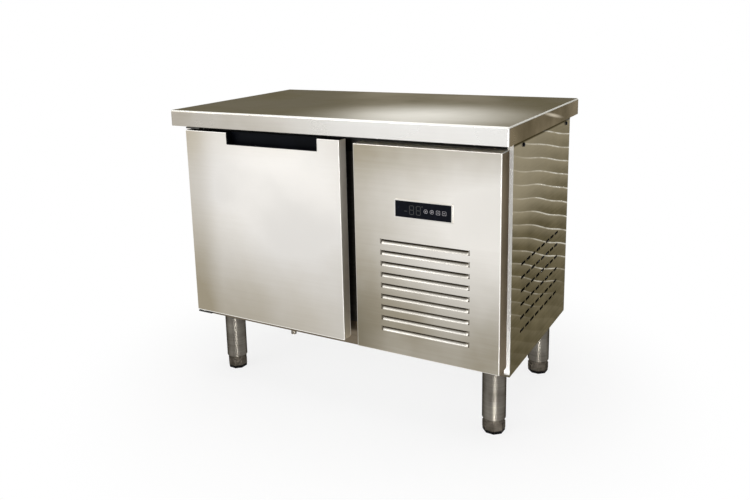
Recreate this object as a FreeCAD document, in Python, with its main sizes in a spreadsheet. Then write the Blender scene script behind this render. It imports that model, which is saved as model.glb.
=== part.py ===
import FreeCAD, Part
import math
import os
import Sketcher
from types import SimpleNamespace

# Refrigerated counter: an insulated chamber with a hinged door beside a louvred machine bay.
# Millimetres; the origin is on the floor under the middle of the worktop, +X right, +Y back, +Z up.

os.makedirs("parts", exist_ok=True)
doc = FreeCAD.newDocument("refrigerated_counter")

# Driving dimensions
DIMENSIONS = {
    # Overall sizes and the walls that share them out
    "worktop_width": 1000,
    "worktop_depth": 600,
    "working_height": 810,
    "worktop_thick": 45,
    "worktop_gauge": 1.2,
    "worktop_edge_radius": 5,
    "core_clearance": 0.3,
    "side_overhang": 9,
    "rear_overhang": 55,
    "front_setback": 4,
    "leg_height": 185,
    "case_gauge": 1,
    "side_return": 14,
    "wall_left": 71,
    "wall_right": 85,
    "wall_back": 55,
    "wall_bottom": 63,
    "wall_top": 43,
    "bay_width": 383,
    "frame_lip": 4,
    "liner_gauge": 1,
    "liner_radius": 12,
    "bearer_leg": 22,
    "bearer_gauge": 2,
    "bearer_end_gap": 6,
    # Door
    "door_lap": 32,
    "door_top_gap": 11,
    "door_thick": 36,
    "door_edge_radius": 2,
    "door_liner_thick": 5,
    "door_liner_margin": 1.5,
    "door_dam_inset": 45,
    "door_dam_height": 9,
    "door_cap_thick": 12,
    "notch_from_left": 146,
    "notch_width": 295,
    "notch_height": 33,
    "grip_wall": 2,
    "grip_depth": 22,
    "grip_undercut": 16,
    "gasket_thick": 15,
    "gasket_inset": 13,
    "gasket_width": 16,
    "gasket_waist": 3,
    "gasket_clearance": 0.3,
    # Hinge
    "pivot_from_left": 12,
    "pivot_from_front": 18,
    "pin_radius": 4,
    "pin_clearance": 0.06,
    "pin_end_gap": 1,
    "bush_radius": 7,
    "bush_flange_radius": 9,
    "bracket_gauge": 4,
    "bracket_top_gap": 3,
    "bracket_drop": 6,
    "bracket_left": 15,
    "bracket_right": 34,
    "bracket_setback": 6.5,
    "bracket_leg": 18,
    "thrust_clearance": 0.2,
    # Machine panel and its louvres
    "panel_lap": 13,
    "panel_inset": 9,
    "panel_lift": 24,
    "panel_top_gap": 16,
    "panel_edge_radius": 2,
    "louvre_from_left": 74,
    "louvre_from_top": 238,
    "louvre_from_bottom": 59,
    "louvre_length": 236,
    "louvre_height": 11,
    "louvre_depth": 7,
    "louvre_rise": 9.5,
    "louvre_blade_gauge": 1.5,
    "louvre_count": 9,
    # Display and controller
    "display_from_left": 192,
    "display_from_top": 153.5,
    "bezel_width": 154,
    "bezel_height": 47,
    "bezel_rim": 3,
    "bezel_proud": 3,
    "bezel_corner": 3,
    "window_clearance": 0.2,
    "window_setback": 0.4,
    "bezel_end_lap": 8,
    "bezel_edge_lap": 6.5,
    "controller_depth": 42,
    "controller_clearance": 1,
    # Vents in the case
    "slot_from_front": 91,
    "slot_from_bottom": 90,
    "slot_length": 33,
    "slot_height": 7.5,
    "slot_pitch": 41.6,
    "slot_count": 8,
    "slot_row_pitch": 35.3,
    "slot_row_count": 6,
    "back_vent_length": 200,
    "back_vent_height": 6,
    "back_vent_pitch": 30,
    "back_vent_count": 6,
    "back_vent_from_left": 50,
    "back_vent_from_bottom": 115,
    # Legs and screw feet
    "leg_diameter": 61,
    "leg_wall": 1.5,
    "leg_inset_left": 89,
    "leg_inset_right": 59,
    "leg_inset_front": 58,
    "leg_inset_rear": 48,
    "leg_plate": 84,
    "leg_plate_gauge": 3,
    "leg_insert_height": 20,
    "leg_bolt_spread": 31,
    "foot_height": 41,
    "foot_grip_height": 31,
    "foot_grip_diameter": 59,
    "foot_neck_diameter": 55,
    "foot_chamfer": 4,
    "stud_radius": 8,
    "stud_length": 76,
    "stud_clearance": 0.08,
    # Screws, bolts and rivets
    "screw_radius": 2,
    "screw_head_radius": 3.5,
    "screw_head_height": 2,
    "rivet_head_radius": 5,
    "rivet_from_top": 15,
    "rivet_front_inset": 73,
    "rivet_rear_inset": 42,
    "bolt_radius": 4,
    "bolt_head_radius": 7.2,
    "bolt_head_height": 5,
    "hole_clearance": 0.2,
    "rail_screw_from_top": 8,
    "rail_screw_inset": 30,
    "rail_screw_spread": 258,
    # Shelf and drain
    "shelf_below_cover": 24,
    "shelf_rail_leg": 18,
    "shelf_rail_gauge": 1.5,
    "shelf_front_gap": 46,
    "shelf_back_gap": 22,
    "shelf_side_gap": 2,
    "shelf_frame_radius": 3,
    "shelf_wire_radius": 2,
    "shelf_wire_count": 18,
    "shelf_weld": 1,
    "drain_from_left": 239,
    "drain_from_front": 53,
    "drain_radius": 9,
    "drain_wall": 2,
    "hose_end_radius": 8,
    "hose_end_length": 30,
    "drain_drop": 35,
    "drain_flange_radius": 20,
    "drain_flange_height": 2,
    # Evaporator in the chamber
    "cover_depth": 105,
    "cover_from_front": 80,
    "cover_from_back": 40,
    "cover_height": 214,
    "cover_clearance": 2,
    "cover_gauge": 1,
    "cover_slot_count": 6,
    "cover_slot_width": 8,
    "evaporator_from_front": 35,
    "evaporator_from_bottom": 16,
    "evaporator_end_room": 50,
    "evaporator_depth": 36,
    "evaporator_top_room": 18,
    "evaporator_standoff": 8,
    "evaporator_passes": 6,
    "evaporator_fins": 16,
    "chill_fan_radius": 74,
    "chill_hub_radius": 22,
    "chill_fan_depth": 22,
    "chill_fan_gap": 7,
    "chill_running_gap": 4,
    "chill_motor_radius": 23,
    "chill_motor_length": 18,
    "chill_bar_width": 24,
    "chill_bar_gauge": 2,
    "guard_gauge": 3,
    "guard_bar_width": 4,
    "guard_margin": 8,
    "guard_ring_count": 3,
    "probe_from_cover": 88,
    "probe_from_ceiling": 34,
    "probe_length": 45,
    "probe_radius": 4,
    # Condensing unit in the machine bay
    "condenser_from_left": 35,
    "condenser_from_front": 25,
    "condenser_from_right": 58,
    "condenser_depth": 55,
    "condenser_height": 284,
    "condenser_rise": 50,
    "condenser_passes": 10,
    "condenser_fins": 22,
    "fin_gauge": 1,
    "end_plate_gauge": 2,
    "coil_tube_radius": 4.5,
    "evaporator_stub": 10,
    "shroud_depth": 20,
    "shroud_gauge": 1,
    "fan_running_gap": 5,
    "fan_radius": 113,
    "fan_hub_radius": 30,
    "fan_depth": 26,
    "fan_gap": 2,
    "fan_blade_count": 5,
    "fan_blade_gauge": 2,
    "fan_blade_margin": 2.5,
    "fan_blade_root": 4,
    "fan_root_pitch": 42,
    "fan_tip_pitch": 24,
    "fan_shaft_radius": 4,
    "fan_motor_radius": 42,
    "fan_motor_length": 55,
    "motor_post_width": 40,
    "motor_post_gauge": 5,
    "motor_post_back": 12,
    "motor_gap": 4,
    "compressor_from_left": 185,
    "compressor_radius": 80,
    "compressor_height": 158,
    "compressor_wall": 8,
    "compressor_shoulder": 16,
    "compressor_plate_length": 170,
    "compressor_plate_width": 130,
    "compressor_plate_gauge": 3,
    "compressor_stub_spread": 40,
    "compressor_stub_rise": 27,
    "compressor_stub_offset": 20,
    "grommet_radius": 12,
    "grommet_height": 18,
    "grommet_inset": 15,
    "pipe_radius": 4,
    "pipe_bend": 10,
    "pipe_socket_wall": 1,
    "pipe_hole_clearance": 0.5,
    "pipe_wall_gap": 12,
    "pipe_stub_gap": 21,
    "pipe_turn": 18,
    "discharge_rise": 80,
    "drier_from_right": 36,
    "drier_from_front": 135,
    "drier_from_bottom": 115,
    "drier_radius": 14,
    "drier_length": 90,
    "drier_taper": 14,
    "pan_from_left": 6,
    "pan_from_back": 45,
    "pan_width": 76,
    "pan_length": 200,
    "pan_height": 30,
    "pan_wall": 2,
    "electric_depth": 60,
    "electric_from_front": 105,
    "electric_length": 160,
    "electric_height": 120,
    "electric_from_top": 45,
    "electric_corner": 4,
    "gland_from_right": 71,
    "gland_from_bottom": 55,
    "gland_bore": 5,
    "gland_neck": 9,
    "gland_cap_radius": 13,
    "gland_nut_radius": 14,
    "gland_nut_height": 6,
    "gland_cap_height": 20,
    "gland_taper": 8,
}

sheet = doc.addObject("Spreadsheet::Sheet", "Dimensions")
for row, (alias, number) in enumerate(DIMENSIONS.items(), start=1):
    sheet.set(f"A{row}", alias)
    sheet.set(f"B{row}", str(number))
    sheet.setAlias(f"B{row}", alias)
doc.recompute()


class Size:
    """A length from the sheet: its expression for setExpression, and its value in millimetres."""

    def __init__(self, text, value):
        self.text = text
        self.value = value

    def __add__(self, other):
        other = size_of(other)
        return Size(f"({self.text} + {other.text})", self.value + other.value)

    def __sub__(self, other):
        other = size_of(other)
        return Size(f"({self.text} - {other.text})", self.value - other.value)

    def __mul__(self, factor):
        factor = size_of(factor)
        return Size(f"({self.text} * {factor.text})", self.value * factor.value)

    def __truediv__(self, divisor):
        divisor = size_of(divisor)
        return Size(f"({self.text} / {divisor.text})", self.value / divisor.value)

    def __neg__(self):
        return Size(f"(0 - {self.text})", -self.value)


def size_of(amount):
    """A plain number as a Size, so that both can be mixed."""
    if isinstance(amount, Size):
        return amount
    return Size(repr(float(amount)), float(amount))


D = SimpleNamespace(**{alias: Size(f"Dimensions.{alias}", float(sheet.get(alias))) for alias in DIMENSIONS})
NONE = size_of(0)
nodes = []


# Helpers: bound objects
def bind(target, **sizes):
    """Bind properties to sizes from the sheet."""
    for name, size in sizes.items():
        target.setExpression(name, size_of(size).text)


def place(target, x, y, z, rotation=None):
    """Turn an object and bind its position to the sheet."""
    if rotation is not None:
        target.Placement = FreeCAD.Placement(FreeCAD.Vector(), rotation)
    for letter, size in zip("xyz", (x, y, z)):
        target.setExpression(f"Placement.Base.{letter}", size_of(size).text)
    return target


def node(label, target):
    """Name an object as a sub-part that gets a file of its own."""
    target.Label = label
    nodes.append(target)
    return target


def box(x, y, z):
    """A block between the low and high size on each axis."""
    block = doc.addObject("Part::Box", "Block")
    bind(block, Length=x[1] - x[0], Width=y[1] - y[0], Height=z[1] - z[0])
    return place(block, x[0], y[0], z[0])


TURNS = {
    "x": FreeCAD.Rotation(FreeCAD.Vector(0, 1, 0), 90),
    "y": FreeCAD.Rotation(FreeCAD.Vector(1, 0, 0), -90),
    "z": FreeCAD.Rotation(),
}


def axis_point(axis, centre, along):
    """A point from its two coordinates across an axis and its one along it."""
    first, second = centre
    return {"x": (along, first, second), "y": (first, along, second), "z": (first, second, along)}[axis]


def rod(axis, centre, span, radius):
    """A cylinder along an axis, centred on the other two coordinates."""
    cylinder = doc.addObject("Part::Cylinder", "Rod")
    bind(cylinder, Radius=radius, Height=span[1] - span[0])
    return place(cylinder, *axis_point(axis, centre, span[0]), TURNS[axis])


def many_sided(centre, span, circumradius, sides):
    """An upright bar with flat sides."""
    prism = doc.addObject("Part::Prism", "ManySided")
    prism.Polygon = sides
    bind(prism, Circumradius=circumradius, Height=span[1] - span[0])
    return place(prism, centre[0], centre[1], span[0])


def fuse(*pieces):
    joined = doc.addObject("Part::MultiFuse", "Joined")
    joined.Shapes = list(pieces)
    joined.Refine = True
    return joined


def cut(base, *tools):
    result = doc.addObject("Part::Cut", "Trimmed")
    result.Base = base
    result.Tool = tools[0] if len(tools) == 1 else fuse(*tools)
    return result


def group(*pieces):
    together = doc.addObject("Part::Compound", "Group")
    together.Links = list(pieces)
    return together


def fillet(base, radius, chosen):
    """Round the edges of a Part object that the test picks."""
    doc.recompute()
    rounded = doc.addObject("Part::Fillet", "Rounded")
    rounded.Base = base
    amount = radius.value
    rounded.Edges = [(i, amount, amount) for i, edge in enumerate(base.Shape.Edges, start=1) if chosen(edge)]
    return rounded


def solid(shape, x, y, z, rotation=None):
    """A shape made by Part's own functions, placed by the sheet."""
    feature = doc.addObject("Part::Feature", "Shaped")
    feature.Shape = shape
    return place(feature, x, y, z, rotation)


# Helpers: PartDesign bodies
def origin(body, role):
    return next(feature for feature in body.Origin.OriginFeatures if feature.Role == role)


def new_body(x, y, z, rotation=None):
    body = doc.addObject("PartDesign::Body", "Body")
    return place(body, x, y, z, rotation)


def new_sketch(body, plane, lift=NONE):
    """A sketch on one of the body's own planes, lifted along that plane's normal."""
    sketch = body.newObject("Sketcher::SketchObject", "Sketch")
    sketch.AttachmentSupport = (origin(body, plane), [""])
    sketch.MapMode = "FlatFace"
    sketch.setExpression("AttachmentOffset.Base.z", lift.text)
    return sketch


def fix_point(sketch, geometry, point, u, v):
    """Hold a sketch point at bound distances from the sketch's origin."""
    for kind, axis, size in (("DistanceX", -2, u), ("DistanceY", -1, v)):
        if size.value == 0:
            sketch.addConstraint(Sketcher.Constraint("PointOnObject", geometry, point, axis))
        else:
            index = sketch.addConstraint(Sketcher.Constraint(kind, -1, 1, geometry, point, size.value))
            sketch.setExpression(f"Constraints[{index}]", size.text)


def draw_outline(sketch, points):
    """A closed outline of straight lines through bound points."""
    points = [(size_of(u), size_of(v)) for u, v in points]
    corners = [FreeCAD.Vector(u.value, v.value, 0) for u, v in points]
    count = len(corners)
    first = sketch.GeometryCount
    sketch.addGeometry([Part.LineSegment(corners[i], corners[(i + 1) % count]) for i in range(count)], False)
    for i in range(count):
        sketch.addConstraint(Sketcher.Constraint("Coincident", first + i, 2, first + (i + 1) % count, 1))
    for i, (u, v) in enumerate(points):
        fix_point(sketch, first + i, 1, u, v)


def draw_rectangle(sketch, u, v):
    draw_outline(sketch, [(u[0], v[0]), (u[1], v[0]), (u[1], v[1]), (u[0], v[1])])


def draw_circle(sketch, u, v, radius):
    centre = FreeCAD.Vector(u.value, v.value, 0)
    index = sketch.addGeometry(Part.Circle(centre, FreeCAD.Vector(0, 0, 1), radius.value), False)
    fix_point(sketch, index, 3, u, v)
    constraint = sketch.addConstraint(Sketcher.Constraint("Radius", index, radius.value))
    sketch.setExpression(f"Constraints[{constraint}]", radius.text)


def draw_slot(sketch, u, v, length, height):
    """A round-ended slot along the sketch's first axis, centred on u and v."""
    radius = height / 2
    reach = length / 2 - radius
    left = FreeCAD.Vector((u - reach).value, v.value, 0)
    right = FreeCAD.Vector((u + reach).value, v.value, 0)
    up = FreeCAD.Vector(0, radius.value, 0)
    normal = FreeCAD.Vector(0, 0, 1)
    quarter = math.pi / 2
    first = sketch.addGeometry(
        Part.ArcOfCircle(Part.Circle(left, normal, radius.value), quarter, 3 * quarter), False)
    sketch.addGeometry(Part.LineSegment(left - up, right - up), False)
    sketch.addGeometry(Part.ArcOfCircle(Part.Circle(right, normal, radius.value), -quarter, quarter), False)
    sketch.addGeometry(Part.LineSegment(right + up, left + up), False)
    for a, end_a, b, end_b in ((0, 2, 1, 1), (1, 2, 2, 1), (2, 2, 3, 1), (3, 2, 0, 1)):
        sketch.addConstraint(Sketcher.Constraint("Tangent", first + a, end_a, first + b, end_b))
    fix_point(sketch, first, 3, u - reach, v)
    index = sketch.addConstraint(Sketcher.Constraint("DistanceX", first, 3, first + 2, 3, (reach * 2).value))
    sketch.setExpression(f"Constraints[{index}]", (reach * 2).text)
    sketch.addConstraint(Sketcher.Constraint("Horizontal", first + 1))
    index = sketch.addConstraint(Sketcher.Constraint("Radius", first, radius.value))
    sketch.setExpression(f"Constraints[{index}]", radius.text)


def pad(body, sketch, length):
    feature = body.newObject("PartDesign::Pad", "Pad")
    feature.Profile = sketch
    bind(feature, Length=length)
    doc.recompute()
    return feature


def pocket(body, sketch, length, along_normal):
    """Cut a sketch out of a body, and check that the cut took material away."""
    doc.recompute()
    before = body.Shape.Volume
    feature = body.newObject("PartDesign::Pocket", "Pocket")
    feature.Profile = sketch
    feature.Reversed = along_normal
    bind(feature, Length=length)
    doc.recompute()
    if body.Shape.Volume >= before:
        raise RuntimeError(f"{body.Name}: a pocket cut nothing")
    return feature


def picked(kind, shapes, chosen):
    """The names of the edges or faces that a test picks, in the body's own frame."""
    names = [f"{kind}{i}" for i, shape in enumerate(shapes, start=1) if chosen(shape)]
    if not names:
        raise RuntimeError(f"no {kind} was picked")
    return names


def round_edges(body, radius, chosen):
    """A PartDesign fillet on the edges that the test picks."""
    base = body.Tip
    names = picked("Edge", base.Shape.Edges, chosen)
    feature = body.newObject("PartDesign::Fillet", "Fillet")
    feature.Base = (base, names)
    bind(feature, Radius=radius)
    doc.recompute()
    return feature


def hollow(body, gauge, opened):
    """Shell a body inwards, leaving out the faces that the test picks."""
    base = body.Tip
    names = picked("Face", base.Shape.Faces, opened)
    feature = body.newObject("PartDesign::Thickness", "Thickness")
    feature.Base = (base, names)
    feature.Reversed = True
    bind(feature, Value=gauge)
    doc.recompute()
    return feature


def revolve(points, x, y, z, rotation=None):
    """A body turned about its own Z axis from points of radius and height."""
    body = new_body(x, y, z, rotation)
    sketch = new_sketch(body, "XZ_Plane")
    draw_outline(sketch, points)
    turned = body.newObject("PartDesign::Revolution", "Revolution")
    turned.Profile = sketch
    turned.ReferenceAxis = (sketch, ["V_Axis"])
    turned.Angle = 360
    doc.recompute()
    return body


def edge_runs(edge, axis):
    """True for a straight edge along one axis, numbered 0 to 2."""
    first, last = edge.Vertexes[0].Point, edge.Vertexes[-1].Point
    return all(abs(first[i] - last[i]) < 1e-6 for i in range(3) if i != axis)


def lies_at(shape, axis, place_on_axis):
    """True where a shape lies in the plane at a place on one axis."""
    low, high = shape.BoundBox.getPoint(0)[axis], shape.BoundBox.getPoint(6)[axis]
    return abs(low - place_on_axis) < 1e-5 and abs(high - place_on_axis) < 1e-5


# Main places, worked out from the driving dimensions
gauge = D.case_gauge
case_width = D.worktop_width - D.side_overhang * 2
case_left = -case_width / 2
case_right = case_width / 2
case_bottom = D.leg_height
case_top = D.working_height - D.worktop_thick
case_height = case_top - case_bottom
case_back = D.worktop_depth / 2 - D.rear_overhang
front = -D.worktop_depth / 2 + D.front_setback
standoff = D.door_thick + D.gasket_thick
case_front = front + standoff
case_depth = case_back - case_front

chamber_left = case_left + D.wall_left
bay_left = case_right - D.bay_width
chamber_right = bay_left - D.wall_right
chamber_back = case_back - D.wall_back
chamber_floor = case_bottom + D.wall_bottom
chamber_ceiling = case_top - D.wall_top
floor_inside = case_bottom + gauge
back_inside = case_back - gauge * 2
front_inside = case_front + gauge
return_left = case_left + D.side_return
return_right = case_right - D.side_return

door_left = chamber_left - D.door_lap
door_right = chamber_right + D.door_lap
door_bottom = chamber_floor - D.door_lap
door_top = case_top - D.door_top_gap
door_height = door_top - door_bottom
skin_depth = D.door_thick - D.door_liner_thick
pivot = (door_left + D.pivot_from_left, front + D.pivot_from_front)

panel_left = bay_left - D.panel_lap
panel_right = case_right - D.panel_inset
panel_bottom = case_bottom + D.panel_lift
panel_top = case_top - D.panel_top_gap
panel_width = panel_right - panel_left
panel_height = panel_top - panel_bottom

leg_places = {
    "front_left": (case_left + D.leg_inset_left, case_front + D.leg_inset_front),
    "front_right": (case_right - D.leg_inset_right, case_front + D.leg_inset_front),
    "rear_left": (case_left + D.leg_inset_left, case_back - D.leg_inset_rear),
    "rear_right": (case_right - D.leg_inset_right, case_back - D.leg_inset_rear),
}
bolt_places = [
    (x + D.leg_bolt_spread * side, y + D.leg_bolt_spread * end)
    for x, y in leg_places.values() for side in (-1, 1) for end in (-1, 1)
]
drain = (chamber_left + D.drain_from_left, case_front + D.drain_from_front)
bracket_x = (pivot[0] - D.bracket_left, pivot[0] + D.bracket_right)
bracket_screw_x = (pivot[0] - D.bracket_left / 2, pivot[0] + D.bracket_right / 2)
bracket_y = (front + D.bracket_setback, case_front)
bracket_leg_y = (case_front - D.bracket_gauge, case_front)
top_bracket_z = (case_top - D.bracket_top_gap - D.bracket_gauge, case_top - D.bracket_top_gap)
bottom_bracket_z = (door_bottom - D.bracket_drop - D.bracket_gauge, door_bottom - D.bracket_drop)
top_leg_z = (top_bracket_z[1] - D.bracket_leg, top_bracket_z[1])
bottom_leg_z = (bottom_bracket_z[1] - D.bracket_leg, bottom_bracket_z[1])
top_screw_z = (top_leg_z[0] + top_bracket_z[0]) / 2
bottom_screw_z = (bottom_leg_z[0] + bottom_bracket_z[0]) / 2
rail_screw_x = (bay_left + D.rail_screw_inset, bay_left + D.rail_screw_inset + D.rail_screw_spread)
rail_screw_z = case_top - D.rail_screw_from_top
rivet_y = (case_front + D.rivet_front_inset, case_back - D.rivet_rear_inset)
rivet_z = case_top - D.rivet_from_top
screw_hole = D.screw_radius + D.hole_clearance


# Worktop: a steel tray turned down over a core board
def worktop_blank(inset, thick, radius):
    body = new_body(inset - D.worktop_width / 2, inset - D.worktop_depth / 2, case_top)
    sketch = new_sketch(body, "XY_Plane")
    width = D.worktop_width - inset * 2
    depth = D.worktop_depth - inset * 2
    draw_rectangle(sketch, (NONE, width), (NONE, depth))
    pad(body, sketch, thick)
    round_edges(body, radius, lambda edge: lies_at(edge, 2, thick.value) or edge_runs(edge, 2))
    return body


worktop_skin = node("worktop_skin", worktop_blank(NONE, D.worktop_thick, D.worktop_edge_radius))
hollow(worktop_skin, D.worktop_gauge, lambda face: lies_at(face, 2, 0))
core_inset = D.worktop_gauge + D.core_clearance
node("worktop_core", worktop_blank(core_inset, D.worktop_thick - D.worktop_gauge, D.worktop_edge_radius))


# Case: side panels with front and rear returns
def side_panel(outer, toward_middle):
    """A folded side sheet; toward_middle is 1 for the left panel and -1 for the right one."""
    low = outer if toward_middle > 0 else outer - D.side_return
    body = new_body(low, case_front, case_bottom)
    sketch = new_sketch(body, "XY_Plane")
    wide, deep = D.side_return, case_depth
    if toward_middle > 0:
        points = [(NONE, NONE), (wide, NONE), (wide, gauge), (gauge, gauge), (gauge, deep - gauge),
                  (wide, deep - gauge), (wide, deep), (NONE, deep)]
    else:
        points = [(NONE, NONE), (wide, NONE), (wide, deep), (NONE, deep), (NONE, deep - gauge),
                  (wide - gauge, deep - gauge), (wide - gauge, gauge), (NONE, gauge)]
    draw_outline(sketch, points)
    pad(body, sketch, case_height)
    return body


node("left_side_panel", side_panel(case_left, 1))

right_side = node("right_side_panel", side_panel(case_right, -1))
rivet_sketch = new_sketch(right_side, "YZ_Plane")
for y in rivet_y:
    draw_circle(rivet_sketch, y - case_front, rivet_z - case_bottom, screw_hole)
pocket(right_side, rivet_sketch, D.side_return, True)
slot_sketch = new_sketch(right_side, "YZ_Plane")
draw_slot(slot_sketch, D.slot_from_front, D.slot_from_bottom, D.slot_length, D.slot_height)
first_slot = pocket(right_side, slot_sketch, D.side_return, True)
slots = right_side.newObject("PartDesign::LinearPattern", "Slots")
slots.Originals = [first_slot]
slots.Direction = (origin(right_side, "Y_Axis"), [""])
slots.Direction2 = (origin(right_side, "Z_Axis"), [""])
bind(slots, Length=D.slot_pitch * (D.slot_count - 1), Occurrences=D.slot_count)
bind(slots, Length2=D.slot_row_pitch * (D.slot_row_count - 1), Occurrences2=D.slot_row_count)
right_side.Tip = slots

# Case: back, bottom, partition and the front frame
gland = (case_right - D.gland_from_right, case_bottom + D.gland_from_bottom)
vent_left = bay_left + D.back_vent_from_left
back_vents = []
for i in range(int(D.back_vent_count.value)):
    vent_bottom = case_bottom + D.back_vent_from_bottom + D.back_vent_pitch * i
    back_vents.append(box((vent_left, vent_left + D.back_vent_length), (back_inside - gauge, case_back),
                          (vent_bottom, vent_bottom + D.back_vent_height)))
node("back_panel", cut(
    box((case_left + gauge, case_right - gauge), (back_inside, back_inside + gauge), (case_bottom, case_top)),
    rod("y", gland, (back_inside - gauge, case_back), D.gland_neck + D.hole_clearance),
    *back_vents))

bolt_holes = [
    rod("z", place_xy, (case_bottom - gauge, floor_inside + gauge), D.bolt_radius + D.hole_clearance)
    for place_xy in bolt_places
]
node("bottom_panel", cut(
    box((case_left + gauge, case_right - gauge), (front_inside, back_inside), (case_bottom, floor_inside)),
    rod("z", drain, (case_bottom - gauge, floor_inside + gauge), D.drain_radius + D.hole_clearance),
    *bolt_holes))

evaporator_tube_x = chamber_right - D.evaporator_standoff - D.evaporator_depth / 2
cover_top = chamber_ceiling - D.liner_radius - D.cover_clearance
cover_x = (chamber_right - D.cover_depth, chamber_right)
cover_y = (case_front + D.cover_from_front, chamber_back - D.cover_from_back)
cover_z = (cover_top - D.cover_height, cover_top)
evaporator_front = cover_y[0] + D.evaporator_from_front
evaporator_length = cover_y[1] - D.evaporator_end_room - evaporator_front
evaporator_bottom = cover_z[0] + D.evaporator_from_bottom
evaporator_height = cover_top - D.evaporator_top_room - evaporator_bottom
evaporator_step = evaporator_height / D.evaporator_passes
evaporator_end_y = evaporator_front + evaporator_length + D.evaporator_stub
pipe_y = evaporator_end_y + D.pipe_turn
suction_z = evaporator_bottom + evaporator_step / 2
capillary_z = evaporator_bottom + evaporator_height - evaporator_step / 2


def wall_holes():
    """Two holes for the refrigerant pipes, right through the partition wall."""
    span = (chamber_right - D.liner_radius, bay_left + gauge)
    radius = D.pipe_radius + D.pipe_hole_clearance
    return [rod("x", (pipe_y, z), span, radius) for z in (suction_z, capillary_z)]


node("partition_skin", cut(
    box((bay_left - gauge, bay_left), (front_inside, back_inside), (floor_inside, case_top)), *wall_holes()))

frame_y = (case_front, front_inside)
frame_left = chamber_left + D.frame_lip
frame_right = chamber_right - D.frame_lip
frame_bottom = chamber_floor + D.frame_lip
frame_top = chamber_ceiling - D.frame_lip
node("hinge_stile", box((return_left, frame_left), frame_y, (frame_bottom, frame_top)))
node("mullion", box((frame_right, bay_left), frame_y, (frame_bottom, frame_top)))
top_rail_holes = [
    rod("y", (x, z), (case_front - gauge, front_inside + gauge), screw_hole)
    for x, z in [(x, top_screw_z) for x in bracket_screw_x] + [(x, rail_screw_z) for x in rail_screw_x]
]
bottom_rail_holes = [
    rod("y", (x, bottom_screw_z), (case_front - gauge, front_inside + gauge), screw_hole)
    for x in bracket_screw_x
]
node("top_rail", cut(box((return_left, return_right), frame_y, (frame_top, case_top)), *top_rail_holes))
node("bottom_rail", cut(
    box((return_left, return_right), frame_y, (case_bottom, frame_bottom)), *bottom_rail_holes))


# Chamber: a liner with rounded corners set in a block of foam
def chamber_block(grow):
    """The chamber's space, grown by a wall on every side but the front, with its inner edges rounded."""
    back = chamber_back + grow
    block = box((chamber_left - grow, chamber_right + grow), (front_inside, back),
                (chamber_floor - grow, chamber_ceiling + grow))
    return fillet(block, D.liner_radius + grow,
                  lambda edge: edge_runs(edge, 1) or lies_at(edge, 1, back.value))


drain_hole_span = (case_bottom, chamber_floor + D.liner_radius)
drain_hole_radius = D.drain_radius + D.hole_clearance
node("inner_liner", cut(
    chamber_block(D.liner_gauge), chamber_block(NONE),
    rod("z", drain, drain_hole_span, drain_hole_radius), *wall_holes()))
node("insulation_foam", cut(
    box((case_left + gauge, bay_left - gauge), (front_inside, back_inside), (floor_inside, case_top)),
    chamber_block(D.liner_gauge),
    rod("z", drain, drain_hole_span, drain_hole_radius), *wall_holes()))

# Shelf on two angle rails
shelf_z = cover_z[0] - D.shelf_below_cover
shelf_y = (case_front + D.shelf_front_gap, chamber_back - D.shelf_back_gap)


def shelf_rail(wall, toward_middle):
    """An angle rail on one chamber wall; toward_middle is 1 at the left wall and -1 at the right one."""
    def across(reach):
        return (wall, wall + reach) if toward_middle > 0 else (wall - reach, wall)
    ledge = box(across(D.shelf_rail_leg), shelf_y, (shelf_z - D.shelf_rail_gauge, shelf_z))
    flange = box(across(D.shelf_rail_gauge), shelf_y, (shelf_z - D.shelf_rail_leg, shelf_z))
    return fuse(ledge, flange)


node("shelf_rails", group(shelf_rail(chamber_left, 1), shelf_rail(chamber_right, -1)))

shelf_x = (chamber_left + D.shelf_side_gap + D.shelf_frame_radius,
           chamber_right - D.shelf_side_gap - D.shelf_frame_radius)
frame_z = shelf_z + D.shelf_frame_radius
wire_z = frame_z + D.shelf_frame_radius + D.shelf_wire_radius - D.shelf_weld
rod_y = (shelf_y[0] + D.shelf_frame_radius, shelf_y[1] - D.shelf_frame_radius)
shelf_rods = [rod("y", (x, frame_z), shelf_y, D.shelf_frame_radius) for x in shelf_x]
shelf_rods += [rod("x", (y, frame_z), shelf_x, D.shelf_frame_radius)
               for y in (rod_y[0], (rod_y[0] + rod_y[1]) / 2, rod_y[1])]
wire_pitch = (shelf_x[1] - shelf_x[0]) / (D.shelf_wire_count + 1)
for i in range(int(D.shelf_wire_count.value)):
    wire_x = shelf_x[0] + wire_pitch * (i + 1)
    shelf_rods.append(rod("y", (wire_x, wire_z), shelf_y, D.shelf_wire_radius))
node("wire_shelf", fuse(*shelf_rods))

# Drain spigot through the chamber's floor
drain_length = chamber_floor - case_bottom + D.drain_drop
drain_bore = D.hose_end_radius - D.drain_wall
flange_top = drain_length + D.drain_flange_height
node("drain_spigot", revolve(
    [(drain_bore, NONE), (D.hose_end_radius, NONE), (D.hose_end_radius, D.hose_end_length),
     (D.drain_radius, D.hose_end_length), (D.drain_radius, drain_length),
     (D.drain_flange_radius, drain_length), (D.drain_flange_radius, flange_top), (drain_bore, flange_top)],
    *drain, case_bottom - D.drain_drop))


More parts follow.
